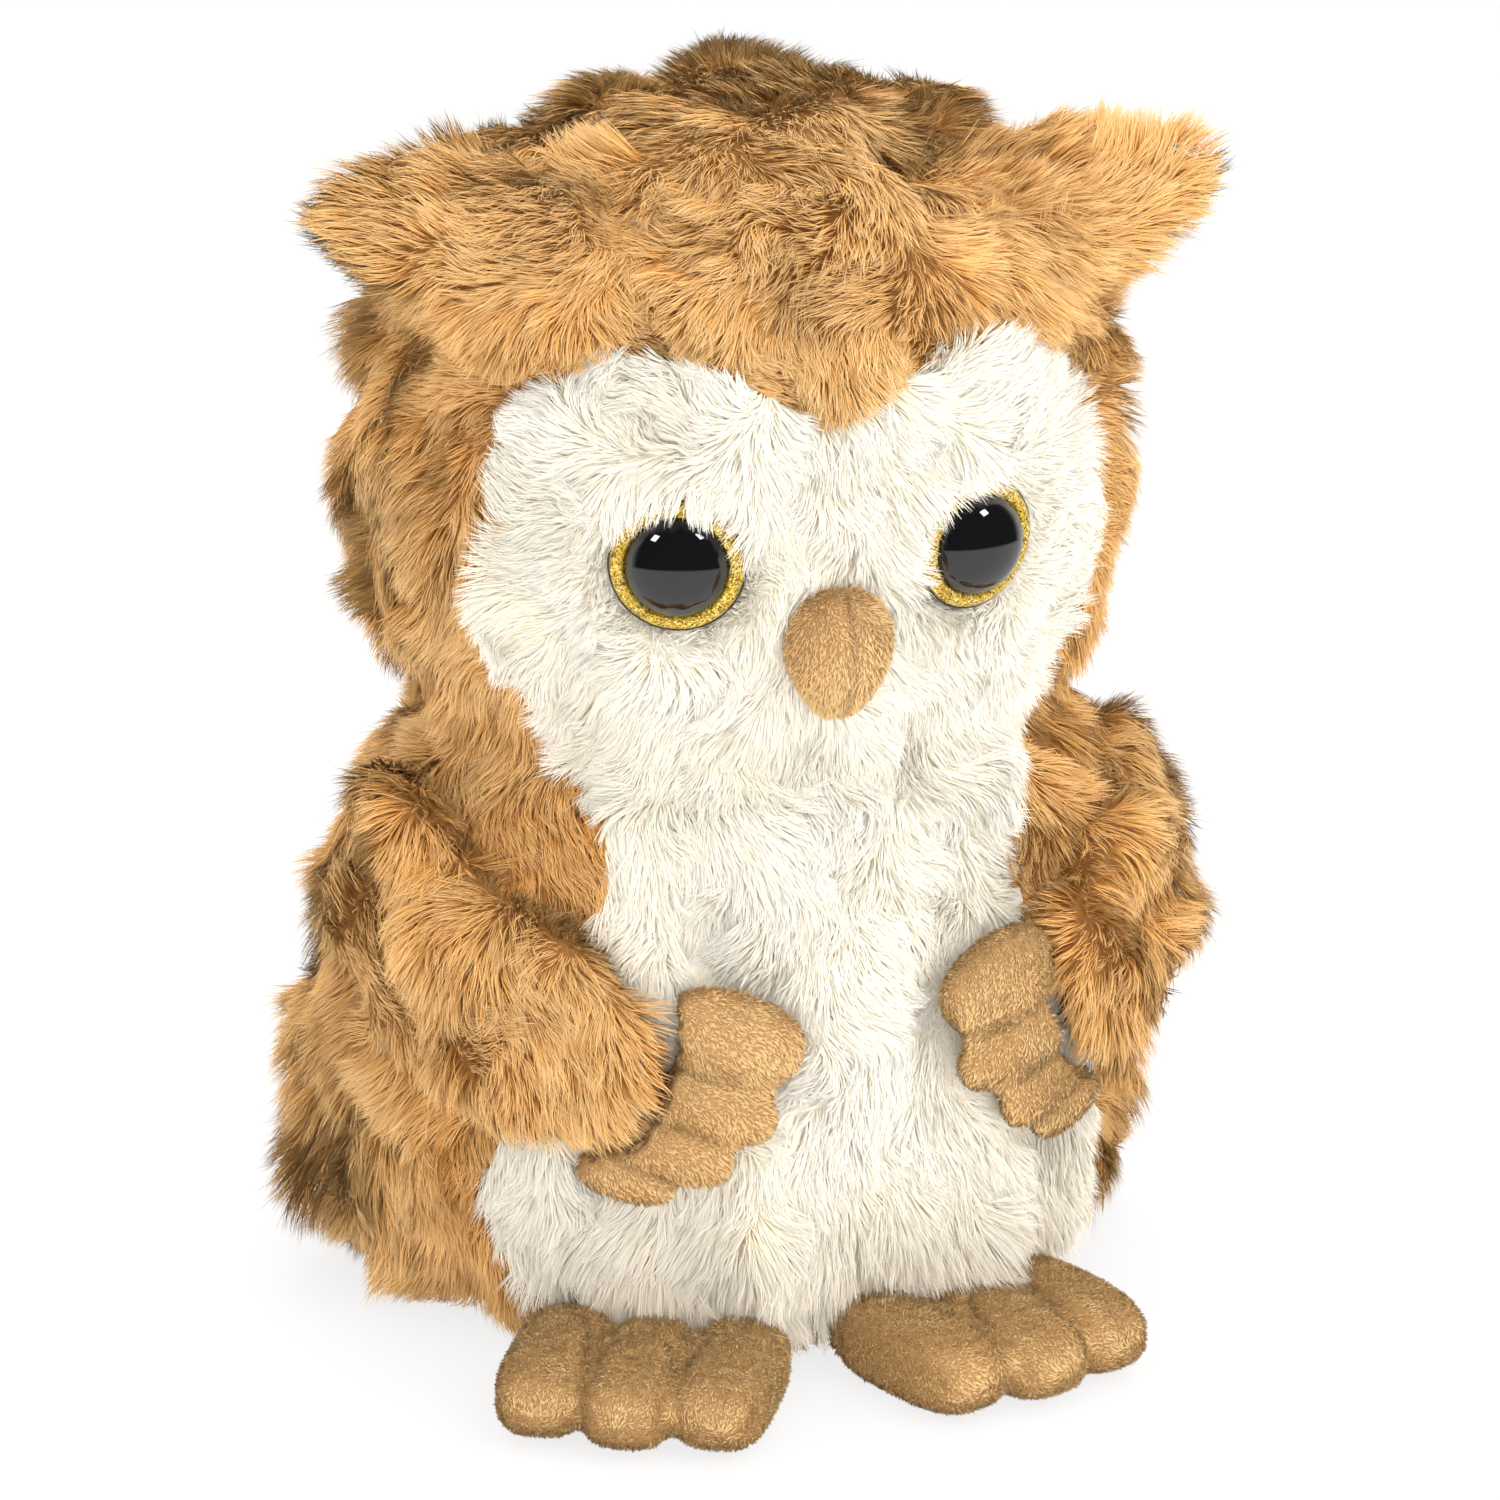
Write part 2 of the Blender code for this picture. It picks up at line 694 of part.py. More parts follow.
def rod_rings(tip, way, across, radius, length, flat):
    return [
        ring(tip - way * length * (1 - along), across * radius * wide * flat, (0, 0, radius * wide))
        for along, wide in ROD_RING_SHARES
    ]


def build_foot(shop, side, form, clear, below):
    """One foot of three toes, with its stuffing, on a pivot at the seam under the belly."""
    name, sign = side
    x, y = TOE_TIP_SHARES[name]
    splay = FOOT_SPLAY[name]
    way = Vector((sign * sin(splay), -cos(splay), 0))
    across = Vector((cos(splay), sign * sin(splay), 0))
    lift = Vector((0, 0, TOE_RADIUS * TOE_LIFT_SHARE))
    middle = Vector((x * TORSO_HALF_WIDTH, y * TORSO_HALF_DEPTH, 0)) + lift
    heel = middle - way * FOOT_PAD_SETBACK
    spread = FOOT_PAD_SPREAD_SHARE
    rings = rod_rings(heel, way, across, FOOT_PAD_RADIUS, FOOT_PAD_LENGTH, spread)
    foot = soft_form("foot_" + name, rings, FINGER_SIDES)
    for number in (-1, 0, 1):
        tip = middle + across * TOE_PITCH * number - way * MIDDLE_TOE_REACH * abs(number)
        rings = rod_rings(tip, way, across, TOE_RADIUS, TOE_LENGTH, 1)
        toe = soft_form(f"toe_{name}_{number + 1}", rings, FINGER_SIDES)
        combine(foot, shop.hidden(toe), "UNION")
    height = TOE_RADIUS * (1 + TOE_LIFT_SHARE) * FOOT_HINGE_SHARE
    seam, _ = surface_point(form, middle.xy.to_3d() + way * REACH + Vector((0, 0, height)), -way)
    pivot = shop.pivot("foot_seam_" + name, seam)
    heel = heel - way * FOOT_WALL
    rings = rod_rings(heel, way, across, FOOT_PAD_RADIUS - FOOT_WALL, FOOT_PAD_LENGTH, spread)
    filling = soft_form("foot_stuffing_" + name, rings, FINGER_SIDES)
    room = grown(shop, filling, SEAM_GAP)
    combine(foot, room)
    for piece in (foot, filling):
        combine(piece, below)
        combine(piece, clear)
    shop.shown(foot, shop.tan, pivot)
    shop.shown(filling, shop.fibre, pivot)


def main():
    clear_scene()
    shop = Workshop()
    torso = shop.hidden(torso_form("torso_form", 0))
    head = shop.hidden(head_form("head_form", 0))
    build_torso(shop, torso)
    neck = shop.pivot("neck_seam", (0, 0, NECK_HEIGHT))
    round_head = build_head(shop, head, neck)
    round_torso = grown(shop, torso, SEAM_GAP)
    above = slab(shop, "above_arms", NECK_HEIGHT - SEAM_GAP, REACH)
    floor = slab(shop, "below_feet", -REACH, 0)
    for side in SIDES.items():
        build_ear(shop, side, head, round_head, neck)
        build_arm(shop, side, torso, round_torso, above)
        build_foot(shop, side, torso, round_torso, floor)


if __name__ == "__main__":
    main()
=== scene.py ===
"""Looks of the plush owl: covers that carry a real pile, domed eyes, and a beak, hands and feet.

Metres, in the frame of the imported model: +Z up, the owl faces -Y, and its own left side lies at +X.
Every pile is mesh. Tapered strands are rooted on a cover, drawn together in tufts and combed along it.
"""

import logging
from collections.abc import Callable, Sequence
from dataclasses import dataclass, field, replace
from enum import Enum
from math import cos, pi, radians, sin

import bmesh
import bpy
import numpy as np
from mathutils import Matrix, Vector
from mathutils.bvhtree import BVHTree
from mathutils.kdtree import KDTree

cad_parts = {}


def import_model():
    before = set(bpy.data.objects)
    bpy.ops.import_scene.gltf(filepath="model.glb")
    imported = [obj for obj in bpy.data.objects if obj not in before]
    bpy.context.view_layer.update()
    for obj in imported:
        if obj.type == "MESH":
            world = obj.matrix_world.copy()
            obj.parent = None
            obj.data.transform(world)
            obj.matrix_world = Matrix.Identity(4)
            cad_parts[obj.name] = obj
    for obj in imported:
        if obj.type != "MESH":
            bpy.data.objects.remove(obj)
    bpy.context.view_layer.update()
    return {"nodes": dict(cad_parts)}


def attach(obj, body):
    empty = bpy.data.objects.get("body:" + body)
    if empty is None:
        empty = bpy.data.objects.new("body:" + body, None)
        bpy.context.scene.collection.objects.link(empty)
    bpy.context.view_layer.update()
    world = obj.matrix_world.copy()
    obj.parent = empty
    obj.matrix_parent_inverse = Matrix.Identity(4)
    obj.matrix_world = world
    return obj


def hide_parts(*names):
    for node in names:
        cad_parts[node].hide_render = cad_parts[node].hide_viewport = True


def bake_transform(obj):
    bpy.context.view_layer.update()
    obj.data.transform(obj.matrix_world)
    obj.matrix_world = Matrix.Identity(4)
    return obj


Array = np.ndarray
Comb = Callable[[Array, Array], Array]
Colour = tuple[float, float, float]
Span = tuple[float, float]
Material = bpy.types.Material
Mesh = bpy.types.Mesh
Node = bpy.types.Node
Socket = bpy.types.NodeSocket
Thing = bpy.types.Object
Tree = bpy.types.NodeTree

LOG = logging.getLogger("plush_owl")
UP = np.array([0.0, 0.0, 1.0])
TINY = 1e-12
WELD = 1e-6
ALL_AXES = {"use_axis_x": True, "use_axis_y": True, "use_axis_z": True}
CELL_SIDE = 0.15
CELL_END = 0.08


class Side(Enum):
    """The owl's own sides, with the sign of their x."""

    RIGHT = -1.0
    LEFT = 1.0

    @property
    def word(self) -> str:
        """The side's name as the nodes spell it."""
        return self.name.lower()


def unit(vectors: Array) -> Array:
    """Vectors scaled to length one."""
    return vectors / np.maximum(np.linalg.norm(vectors, axis=-1, keepdims=True), TINY)


def flat_to(vectors: Array, normals: Array) -> Array:
    """The directions along a surface that lie nearest to some vectors.

    Args:
        vectors: directions, one a point or one for all.
        normals: the surface's normals.

    Returns:
        Unit vectors square to the normals.
    """
    vectors = np.broadcast_to(vectors, normals.shape)
    return unit(vectors - normals * (vectors * normals).sum(1, keepdims=True))


def turned_about(vectors: Array, axes: Array, angles: Array) -> Array:
    """Vectors turned about axes that are square to them, by angles in radians."""
    angles = np.asarray(angles)[:, None]
    return vectors * np.cos(angles) + np.cross(axes, vectors) * np.sin(angles)


def smooth_step(low: float, high: float, values: Array) -> Array:
    """Values brought to 0 below low and 1 above high, with a smooth rise between."""
    share = np.clip((values - low) / (high - low), 0, 1)
    return share * share * (3 - 2 * share)


@dataclass(frozen=True)
class Drift:
    """Smooth noise in space: a sum of seeded sine waves, about -1 to 1."""

    seed: int
    wavelength: float
    waves: int = 9
    rates: Span = (0.7, 1.45)
    level: float = 0.7

    def at(self, points: Array) -> Array:
        """The noise at some places.

        Args:
            points: the places.

        Returns:
            One value a place.
        """
        rng = np.random.default_rng(self.seed)
        ways = unit(rng.normal(size=(self.waves, 3)))
        ways *= 2 * pi / self.wavelength * rng.uniform(*self.rates, (self.waves, 1))
        phases = rng.uniform(0, 2 * pi, self.waves)
        return np.sin(points @ ways.T + phases).sum(1) * np.sqrt(2 / self.waves) * self.level


@dataclass
class Roots:
    """Places on a cover where strands start, with what the cover tells about each."""

    points: Array
    normals: Array
    marks: dict[str, Array]

    def kept(self, mask: Array) -> "Roots":
        """Only the roots that a mask keeps."""
        marks = {name: values[mask] for name, values in self.marks.items()}
        return Roots(self.points[mask], self.normals[mask], marks)


Share = Callable[[Roots], Array]


def read(items: bpy.types.bpy_prop_collection, name: str, width: int, kind: type = float) -> Array:
    """Reads one property of every vertex, edge or triangle of a mesh.

    Args:
        items: the vertices, edges or triangles.
        name: the property.
        width: how many numbers it holds.
        kind: the numbers' type.

    Returns:
        One row an item.
    """
    values = np.empty(len(items) * width, kind)
    items.foreach_get(name, values)
    return values.reshape(-1, width)


@dataclass
class Cover:
    """A cloth surface as arrays: points, outward normals, triangles, and named marks at the points."""

    points: Array
    normals: Array
    triangles: Array
    marks: dict[str, Array]

    @classmethod
    def of(cls, thing: Thing) -> "Cover":
        """Reads an object's mesh.

        Args:
            thing: the object.

        Returns:
            Its cover, without marks.
        """
        mesh = thing.data
        mesh.calc_loop_triangles()
        points = read(mesh.vertices, "co", 3)
        normals = unit(read(mesh.vertices, "normal", 3))
        return cls(points, normals, read(mesh.loop_triangles, "vertices", 3, np.int32), {})

    def scatter(self, density: float, rng: np.random.Generator) -> Roots:
        """Strews roots evenly over the cover.

        Args:
            density: roots a square metre.
            rng: the seeded source of chance.

        Returns:
            The roots, with smooth normals.
        """
        corners = self.points[self.triangles]
        spans = np.cross(corners[:, 1] - corners[:, 0], corners[:, 2] - corners[:, 0])
        areas = np.linalg.norm(spans, axis=1) / 2
        count = int(areas.sum() * density)
        chosen = rng.choice(len(areas), count, p=areas / areas.sum())
        first, second = rng.random((2, count, 1))
        over = first + second > 1
        first, second = np.where(over, 1 - first, first), np.where(over, 1 - second, second)
        shares = np.concatenate([1 - first - second, first, second], axis=1)
        index = self.triangles[chosen]
        points = (self.points[index] * shares[:, :, None]).sum(1)
        normals = unit((self.normals[index] * shares[:, :, None]).sum(1))
        marks = {name: (values[index] * shares).sum(1) for name, values in self.marks.items()}
        return Roots(points, normals, marks)


@dataclass(frozen=True)
class PileStyle:
    """How a pile grows, in metres, radians and strands a square metre."""

    length: float = 0.0087
    root_lift: float = radians(52)
    tip_lift: float = radians(15)
    swirl: float = radians(34)
    swirl_size: float = 0.044
    patch_size: float = 0.0098
    patch_turn: float = radians(38)
    patch_lift: float = radians(12)
    patch_raise: float = 0.0016
    patch_reach: float = 0.22
    tuft_size: float = 0.0052
    lock_size: float = 0.0009
    tuft_pull: float = 0.30
    lock_pull: float = 0.12
    ruffle: float = radians(13)
    ruffle_size: float = 0.022
    parting_lift: float = radians(7)
    density: float = 4.0e6
    width: float = 0.00021
    levels: int = 4
    stray: float = 0.10
    tones: tuple[float, float, float] = (0.30, 0.14, 0.42)
    softness: float = 0.80
    lock_round: float = 0.14
    tuft_round: float = 0.50
    crowd: float = 1.15
    parting_step: float = 0.003
    parting_range: Span = (0.15, 1.4)
    unevenness: float = 0.12
    lock_turn: float = radians(9)
    reach: Span = (0.72, 1.0)
    gather: float = 1.8
    loose_pull: float = 0.2
    wander: Span = (0.035, 0.09)
    roll: float = 0.45
    thickness: Span = (0.7, 1.3)
    taper: float = 2.2
    seed: int = 1


@dataclass
class Pile:
    """Grown strands: their centre lines, and what the material and the mesh need of each."""

    lines: Array
    normals: Array
    shade: Array
    tint: Array
    warmth: Array
    style: PileStyle

    def kept(self, mask: Array) -> "Pile":
        """Only the strands that a mask keeps."""
        parts = (values[mask] for values in (self.lines, self.normals, self.shade, self.tint, self.warmth))
        return Pile(*parts, self.style)


def nearest(places: Array, queries: Array) -> Array:
    """Finds the place nearest to each query.

    Args:
        places: where to look.
        queries: the points that look.

    Returns:
        One index of a place a query.
    """
    tree = KDTree(len(places))
    for index, place in enumerate(places.tolist()):
        tree.insert(place, index)
    tree.balance()
    return np.array([tree.find(query)[1] for query in queries.tolist()], int)


def shared(points: Array, seeds: Array, values: Array, reach: float) -> Array:
    """Values held by seeds, carried over to points with soft borders between the seeds.

    Args:
        points: where the values are wanted.
        seeds: the places that hold the values.
        values: one row a seed.
        reach: how soft the borders are, in metres.

    Returns:
        One row a point.
    """
    rows = []
    for part in np.array_split(points, max(1, len(points) * len(seeds) // 4_000_000)):
        gap = (part**2).sum(1)[:, None] + (seeds**2).sum(1) - 2 * part @ seeds.T
        weight = np.exp((gap.min(1, keepdims=True) - gap) / (2 * reach * reach))
        rows.append(weight @ values / weight.sum(1, keepdims=True))
    return np.concatenate(rows)


def full(roots: Roots) -> Array:
    """The full share at every root."""
    return np.ones(len(roots.points))


def grow(roots: Roots, style: PileStyle, comb: Comb, length: Share = full, rise: Share = full) -> Pile:
    """Grows strands that gather in locks, which gather in tufts.

    Args:
        roots: where strands start. Tufts and locks are picked from them too.
        style: how the pile grows.
        comb: gives the direction that the pile is combed in at points with normals.
        length: gives the share of the full length at roots.
        rise: gives the share of the full lift at roots.

    Returns:
        The grown pile.
    """
    rng = np.random.default_rng(style.seed)
    swirl, ruffle = Drift(style.seed + 10, style.swirl_size), Drift(style.seed + 20, style.ruffle_size)
    fine = Drift(style.seed + 30, style.ruffle_size / 2)

    def picked(size: float) -> Roots:
        """Picks as many of the roots as leave a distance between them."""
        share = min(1.0, style.crowd / (size * size * style.density))
        return roots.kept(rng.random(len(roots.points)) < share)

    patches = picked(style.patch_size)
    habit_sizes = (style.patch_turn, style.patch_lift, style.patch_raise)
    habits = rng.normal(0, 1, (len(patches.points), 3)) * habit_sizes

    def headed(points: Array, normals: Array) -> tuple[Array, Array]:
        """Finds the direction that the pile lies in at points, and the habits of their patches.

        Args:
            points: places on or near the cover.
            normals: the normals there.

        Returns:
            The directions and the habits.
        """
        habit = shared(points, patches.points, habits, style.patch_size * style.patch_reach)
        ways = flat_to(comb(points, normals), normals)
        return turned_about(ways, normals, swirl.at(points) * style.swirl + habit[:, 0]), habit

    def parted(start: Roots) -> Array:
        """Finds how much further apart the strands' tips lie than their roots.

        Args:
            start: the tufts.

        Returns:
            How much the pile parts at each.
        """
        ways = headed(start.points, start.normals)[0]
        step = style.parting_step
        low, high = style.parting_range
        apart = np.zeros(len(start.points))
        for way in (ways, np.cross(start.normals, ways)):
            beyond = headed(start.points + way * step, start.normals)[0]
            apart += ((beyond - ways) * way).sum(1) * style.length / step
        return np.clip(apart - low, 0, high)

    def guides(start: Roots, chance: float, parting: Array) -> Array:
        """Draws combed, lifted lines as offsets from their starts, steeper where the pile parts.

        Args:
            start: where the lines start.
            chance: how unlike they turn.
            parting: how much the pile parts.

        Returns:
            One line of offsets a start.
        """
        count = len(start.points)
        ways, habit = headed(start.points, start.normals)
        ways = turned_about(ways, start.normals, rng.normal(0, chance, count))
        raised = ruffle.at(start.points) * style.ruffle + habit[:, 1] + rng.normal(0, chance / 2, count)
        raised = raised + parting * style.parting_lift
        curl = fine.at(start.points) * style.swirl / 2 + rng.normal(0, chance, count)
        long = style.length * length(start) * (1 + style.unevenness * fine.at(start.points))
        stand = rise(start)
        at = start.normals * habit[:, 2:] * length(start)[:, None]
        offsets = [at]
        for level in range(1, style.levels):
            share = (level - 0.5) / (style.levels - 1)
            lift = style.root_lift + (style.tip_lift - style.root_lift) * share + raised * (0.4 + share)
            lift = np.clip(lift * stand, radians(2), radians(88))[:, None]
            bent = turned_about(ways, start.normals, curl * share)
            step = bent * np.cos(lift) + start.normals * np.sin(lift)
            at = at + step * (long / (style.levels - 1))[:, None]
            offsets.append(at)
        return np.stack(offsets, axis=1)

    tufts, locks = picked(style.tuft_size), picked(style.lock_size)
    home = nearest(tufts.points, locks.points)
    lock_guides = guides(locks, style.lock_turn, parted(tufts)[home])
    lock = nearest(locks.points, roots.points)
    along = np.linspace(0, 1, style.levels)[None, :, None]
    count = len(roots.points)
    loose = (rng.random(count) < style.stray)[:, None, None]
    reach = rng.uniform(*style.reach, count)[:, None, None]
    to_lock = (locks.points[lock] - roots.points)[:, None, :]
    to_tuft = (tufts.points[home[lock]] - locks.points[lock])[:, None, :]
    pull = np.where(loose, style.loose_pull, 1.0)
    lines = roots.points[:, None, :] + lock_guides[lock] * reach
    lines = lines + to_lock * style.lock_pull * pull * along**style.gather
    lines = lines + to_tuft * style.tuft_pull * pull * along**style.gather
    steady, stray = style.wander
    wander = rng.normal(0, style.length * np.where(loose, stray, steady), (count, 1, 3))
    lines = lines + wander * along
    tones = style.tones
    tint = rng.normal(0, tones[0], len(tufts.points))[home[lock]] + rng.normal(0, tones[2], count)
    tint = tint + rng.normal(0, tones[1], len(locks.points))[lock]
    warmth = swirl.at(roots.points * 0.7) + rng.normal(0, 0.2, count)
    shade = roots.normals - to_lock[:, 0] / style.lock_size * style.lock_round
    shade = unit(shade - to_tuft[:, 0] / style.tuft_size * style.tuft_round)
    return Pile(lines, roots.normals, shade, tint, warmth, style)


def new_mesh(name: str, points: Array, loops: Array, starts: Array) -> Mesh:
    """Makes a mesh from flat arrays, without a loop over its faces.

    Args:
        name: the mesh's name.
        points: its vertices' places, one row each.
        loops: its faces' vertices, one face after another.
        starts: where each face starts in loops.

    Returns:
        The smooth mesh.
    """
    mesh = bpy.data.meshes.new(name)
    mesh.vertices.add(len(points))
    mesh.vertices.foreach_set("co", np.ascontiguousarray(points, np.float32).ravel())
    mesh.loops.add(len(loops))
    mesh.loops.foreach_set("vertex_index", np.ascontiguousarray(loops, np.int32))
    mesh.polygons.add(len(starts))
    mesh.polygons.foreach_set("loop_start", np.ascontiguousarray(starts, np.int32))
    mesh.update(calc_edges=True)
    mesh.shade_smooth()
    return mesh


def put_values(mesh: Mesh, name: str, values: Array) -> None:
    """Stores one number a point for a material to read."""
    mesh.attributes.new(name, "FLOAT", "POINT").data.foreach_set("value", values.astype(np.float32))


def strand_mesh(name: str, pile: Pile, rng: np.random.Generator) -> Mesh:
    """Turns strands into thin tapered ribbons that face out, each with its own cell of the bake's map.

    Args:
        name: the mesh's name.
        pile: the strands.
        rng: the seeded source of chance.

    Returns:
        The mesh, with rounded normals and the attributes along, tint and warmth.
    """
    count, levels, _ = pile.lines.shape
    tangents = unit(np.gradient(pile.lines, axis=1))
    outward = np.repeat(pile.normals[:, None, :], levels, axis=1)
    across = unit(np.cross(tangents, outward))
    faces_way = np.cross(across, tangents)
    roll = rng.normal(0, pile.style.roll, (count, 1, 1))
    across = across * np.cos(roll) + faces_way * np.sin(roll)
    faces_way = np.cross(across, tangents)
    along = np.linspace(0, 1, levels)
    widths = pile.style.width * rng.uniform(*pile.style.thickness, (count, 1, 1))
    taper = (1 - along**pile.style.taper)[None, :, None] * widths / 2
    soft = pile.style.softness
    middle = unit(pile.shade[:, None, :] * soft + faces_way * (1 - soft))
    left = pile.lines - across * taper
    right = pile.lines + across * taper
    left_normal = unit(middle - across * (1 - soft))
    right_normal = unit(middle + across * (1 - soft))
    sides = levels - 1
    per = 2 * sides + 1
    points = np.empty((count, per, 3))
    points[:, 0 : 2 * sides : 2] = left[:, :sides]
    points[:, 1 : 2 * sides : 2] = right[:, :sides]
    points[:, -1] = pile.lines[:, -1]
    normals = np.empty_like(points)
    normals[:, 0 : 2 * sides : 2] = left_normal[:, :sides]
    normals[:, 1 : 2 * sides : 2] = right_normal[:, :sides]
    normals[:, -1] = middle[:, -1]
    quads = [corner for k in range(sides - 1) for corner in (2 * k, 2 * k + 1, 2 * k + 3, 2 * k + 2)]
    pattern = np.array([*quads, 2 * sides - 2, 2 * sides - 1, 2 * sides])
    starts = np.array([4 * k for k in range(sides)])
    base = np.arange(count)[:, None]
    loops = (base * per + pattern).ravel()
    mesh = new_mesh(name, points.reshape(-1, 3), loops, (base * len(pattern) + starts).ravel())
    custom = mesh.attributes.new("custom_normal", "FLOAT_VECTOR", "POINT")
    custom.data.foreach_set("vector", normals.astype(np.float32).ravel())
    level = np.append(np.repeat(along[:sides], 2), 1.0)
    put_values(mesh, "along", np.tile(level, count))
    put_values(mesh, "tint", np.repeat(pile.tint, per))
    put_values(mesh, "warmth", np.repeat(pile.warmth, per))
    cells = int(np.ceil(np.sqrt(count)))
    across_map = np.append(np.tile([CELL_SIDE, 1 - CELL_SIDE], sides), 0.5)
    along_map = CELL_END + (1 - 2 * CELL_END) * level
    corner = np.stack([across_map, along_map], axis=1)[pattern]
    cell = np.stack([np.arange(count) % cells, np.arange(count) // cells], axis=1)
    uv = (cell[:, None, :] + corner[None]) / cells
    layer = mesh.uv_layers.new(name="OFBake")
    layer.uv.foreach_set("vector", uv.astype(np.float32).ravel())
    return mesh


def new_group(name: str, given: dict[str, str], made: dict[str, str]) -> Tree:
    """An empty shader node group with its input and output nodes.

    Args:
        name: the group's name.
        given: the inputs' names, with their socket types.
        made: the outputs' names, with their socket types.

    Returns:
        The group, with nodes named given and made at its two ends.
    """
    tree = bpy.data.node_groups.new(name, "ShaderNodeTree")
    for direction, sockets in (("INPUT", given), ("OUTPUT", made)):
        for title, kind in sockets.items():
            tree.interface.new_socket(name=title, in_out=direction, socket_type=kind)
    tree.nodes.new("NodeGroupInput").name = "given"
    tree.nodes.new("NodeGroupOutput").name = "made"
    return tree


def math_node(tree: Tree, operation: str, *values: Socket | float) -> Socket:
    """Places a math node.

    Args:
        tree: where it goes.
        operation: what it works out.
        values: its inputs, as sockets or plain numbers.

    Returns:
        The socket of its result.
    """
    node = tree.nodes.new("ShaderNodeMath")
    node.operation = operation
    for socket, value in zip(node.inputs, values):
        if isinstance(value, Socket):
            tree.links.new(value, socket)
        else:
            socket.default_value = value
    return node.outputs["Value"]


def vector_node(tree: Tree, operation: str, **values: Socket) -> Socket:
    """Places a vector math node.

    Args:
        tree: where it goes.
        operation: what it works out.
        values: its inputs, named first, second and scale.

    Returns:
        The socket of its result.
    """
    node = tree.nodes.new("ShaderNodeVectorMath")
    node.operation = operation
    places = {"first": 0, "second": 1, "scale": 3}
    for title, value in values.items():
        tree.links.new(value, node.inputs[places[title]])
    return node.outputs["Vector"]


class Effects:
    """The shader node groups that several materials share, each built once."""

    def __init__(self) -> None:
        """Builds every group."""
        self.tone = self.strand_tone()
        self.side = self.round_side()
        self.knit = self.knitted()
        self.uneven = self.uneven_gloss()

    @staticmethod
    def strand_tone() -> Tree:
        """A pile's colour, warmer or duller by region and lighter or darker by tuft, lock and strand.

        Returns:
            The group, with its named outputs.
        """
        given = {
            "Colour": "NodeSocketColor",
            "Warmth": "NodeSocketFloat",
            "Tint": "NodeSocketFloat",
            "Warm": "NodeSocketColor",
            "Dull": "NodeSocketColor",
            "Spread": "NodeSocketFloat",
        }
        tree = new_group("strand_tone", given, {"Colour": "NodeSocketColor"})
        start = tree.nodes["given"].outputs
        share = tree.nodes.new("ShaderNodeMapRange")
        share.inputs["From Min"].default_value = -1.1
        share.inputs["From Max"].default_value = 1.1
        tree.links.new(start["Warmth"], share.inputs["Value"])
        cast = tree.nodes.new("ShaderNodeMix")
        cast.data_type = "RGBA"
        tree.links.new(share.outputs["Result"], cast.inputs["Factor"])
        tree.links.new(start["Dull"], cast.inputs["A"])
        tree.links.new(start["Warm"], cast.inputs["B"])
        tinted = vector_node(tree, "MULTIPLY", first=start["Colour"], second=cast.outputs["Result"])
        level = math_node(tree, "MULTIPLY_ADD", start["Tint"], start["Spread"], 1.0)
        bright = vector_node(tree, "SCALE", first=tinted, scale=level)
        tree.links.new(bright, tree.nodes["made"].inputs["Colour"])
        return tree

    @staticmethod
    def round_side() -> Tree:
        """The cover's normal, mixed with the strand's own side, the same for a strand's front and back.

        Returns:
            The group, with its named outputs.
        """
        given = {"Backfacing": "NodeSocketFloat", "Own Side": "NodeSocketFloat"}
        tree = new_group("round_side", given, {"Normal": "NodeSocketVector"})
        start = tree.nodes["given"].outputs
        geometry = tree.nodes.new("ShaderNodeNewGeometry")
        sign = math_node(tree, "MULTIPLY_ADD", start["Backfacing"], -2.0, 1.0)
        turned_back = vector_node(tree, "SCALE", first=geometry.outputs["Normal"], scale=sign)
        mixed = tree.nodes.new("ShaderNodeMix")
        mixed.data_type = "VECTOR"
        tree.links.new(start["Own Side"], mixed.inputs["Factor"])
        tree.links.new(turned_back, mixed.inputs["A"])
        tree.links.new(geometry.outputs["True Normal"], mixed.inputs["B"])
        straight = vector_node(tree, "NORMALIZE", first=mixed.outputs["Result"])
        tree.links.new(straight, tree.nodes["made"].inputs["Normal"])
        return tree

    @staticmethod
    def knitted() -> Tree:
        """A knitted cloth's colour, with painted shade that darkens it where the threads lie low, and the
        height of its threads.

        Returns:
            The group, with its named outputs.
        """
        given = {"Colour": "NodeSocketColor", "Scale": "NodeSocketFloat"}
        made = {"Colour": "NodeSocketColor", "Height": "NodeSocketFloat"}
        tree = new_group("knit", given, made)
        start, end = tree.nodes["given"].outputs, tree.nodes["made"].inputs
        coordinates = tree.nodes.new("ShaderNodeTexCoord")
        noise = tree.nodes.new("ShaderNodeTexNoise")
        tree.links.new(coordinates.outputs["Object"], noise.inputs["Vector"])
        tree.links.new(start["Scale"], noise.inputs["Scale"])
        # painted shade: the colour darkens by up to 40 % where the noise, which is also the threads' height,
        # is low
        level = math_node(tree, "MULTIPLY_ADD", noise.outputs["Fac"], 0.4, 0.6)
        tree.links.new(vector_node(tree, "SCALE", first=start["Colour"], scale=level), end["Colour"])
        tree.links.new(noise.outputs["Fac"], end["Height"])
        return tree

    @staticmethod
    def uneven_gloss() -> Tree:
        """A roughness that changes a little over a plastic's surface.

        Returns:
            The group, with its named outputs.
        """
        given = {"Roughness": "NodeSocketFloat", "Scale": "NodeSocketFloat"}
        tree = new_group("uneven_gloss", given, {"Roughness": "NodeSocketFloat"})
        start = tree.nodes["given"].outputs
        coordinates = tree.nodes.new("ShaderNodeTexCoord")
        noise = tree.nodes.new("ShaderNodeTexNoise")
        tree.links.new(coordinates.outputs["Object"], noise.inputs["Vector"])
        tree.links.new(start["Scale"], noise.inputs["Scale"])
        level = math_node(tree, "MULTIPLY_ADD", noise.outputs["Fac"], 0.4, 0.8)
        uneven = math_node(tree, "MULTIPLY", start["Roughness"], level)
        tree.links.new(uneven, tree.nodes["made"].inputs["Roughness"])
        return tree


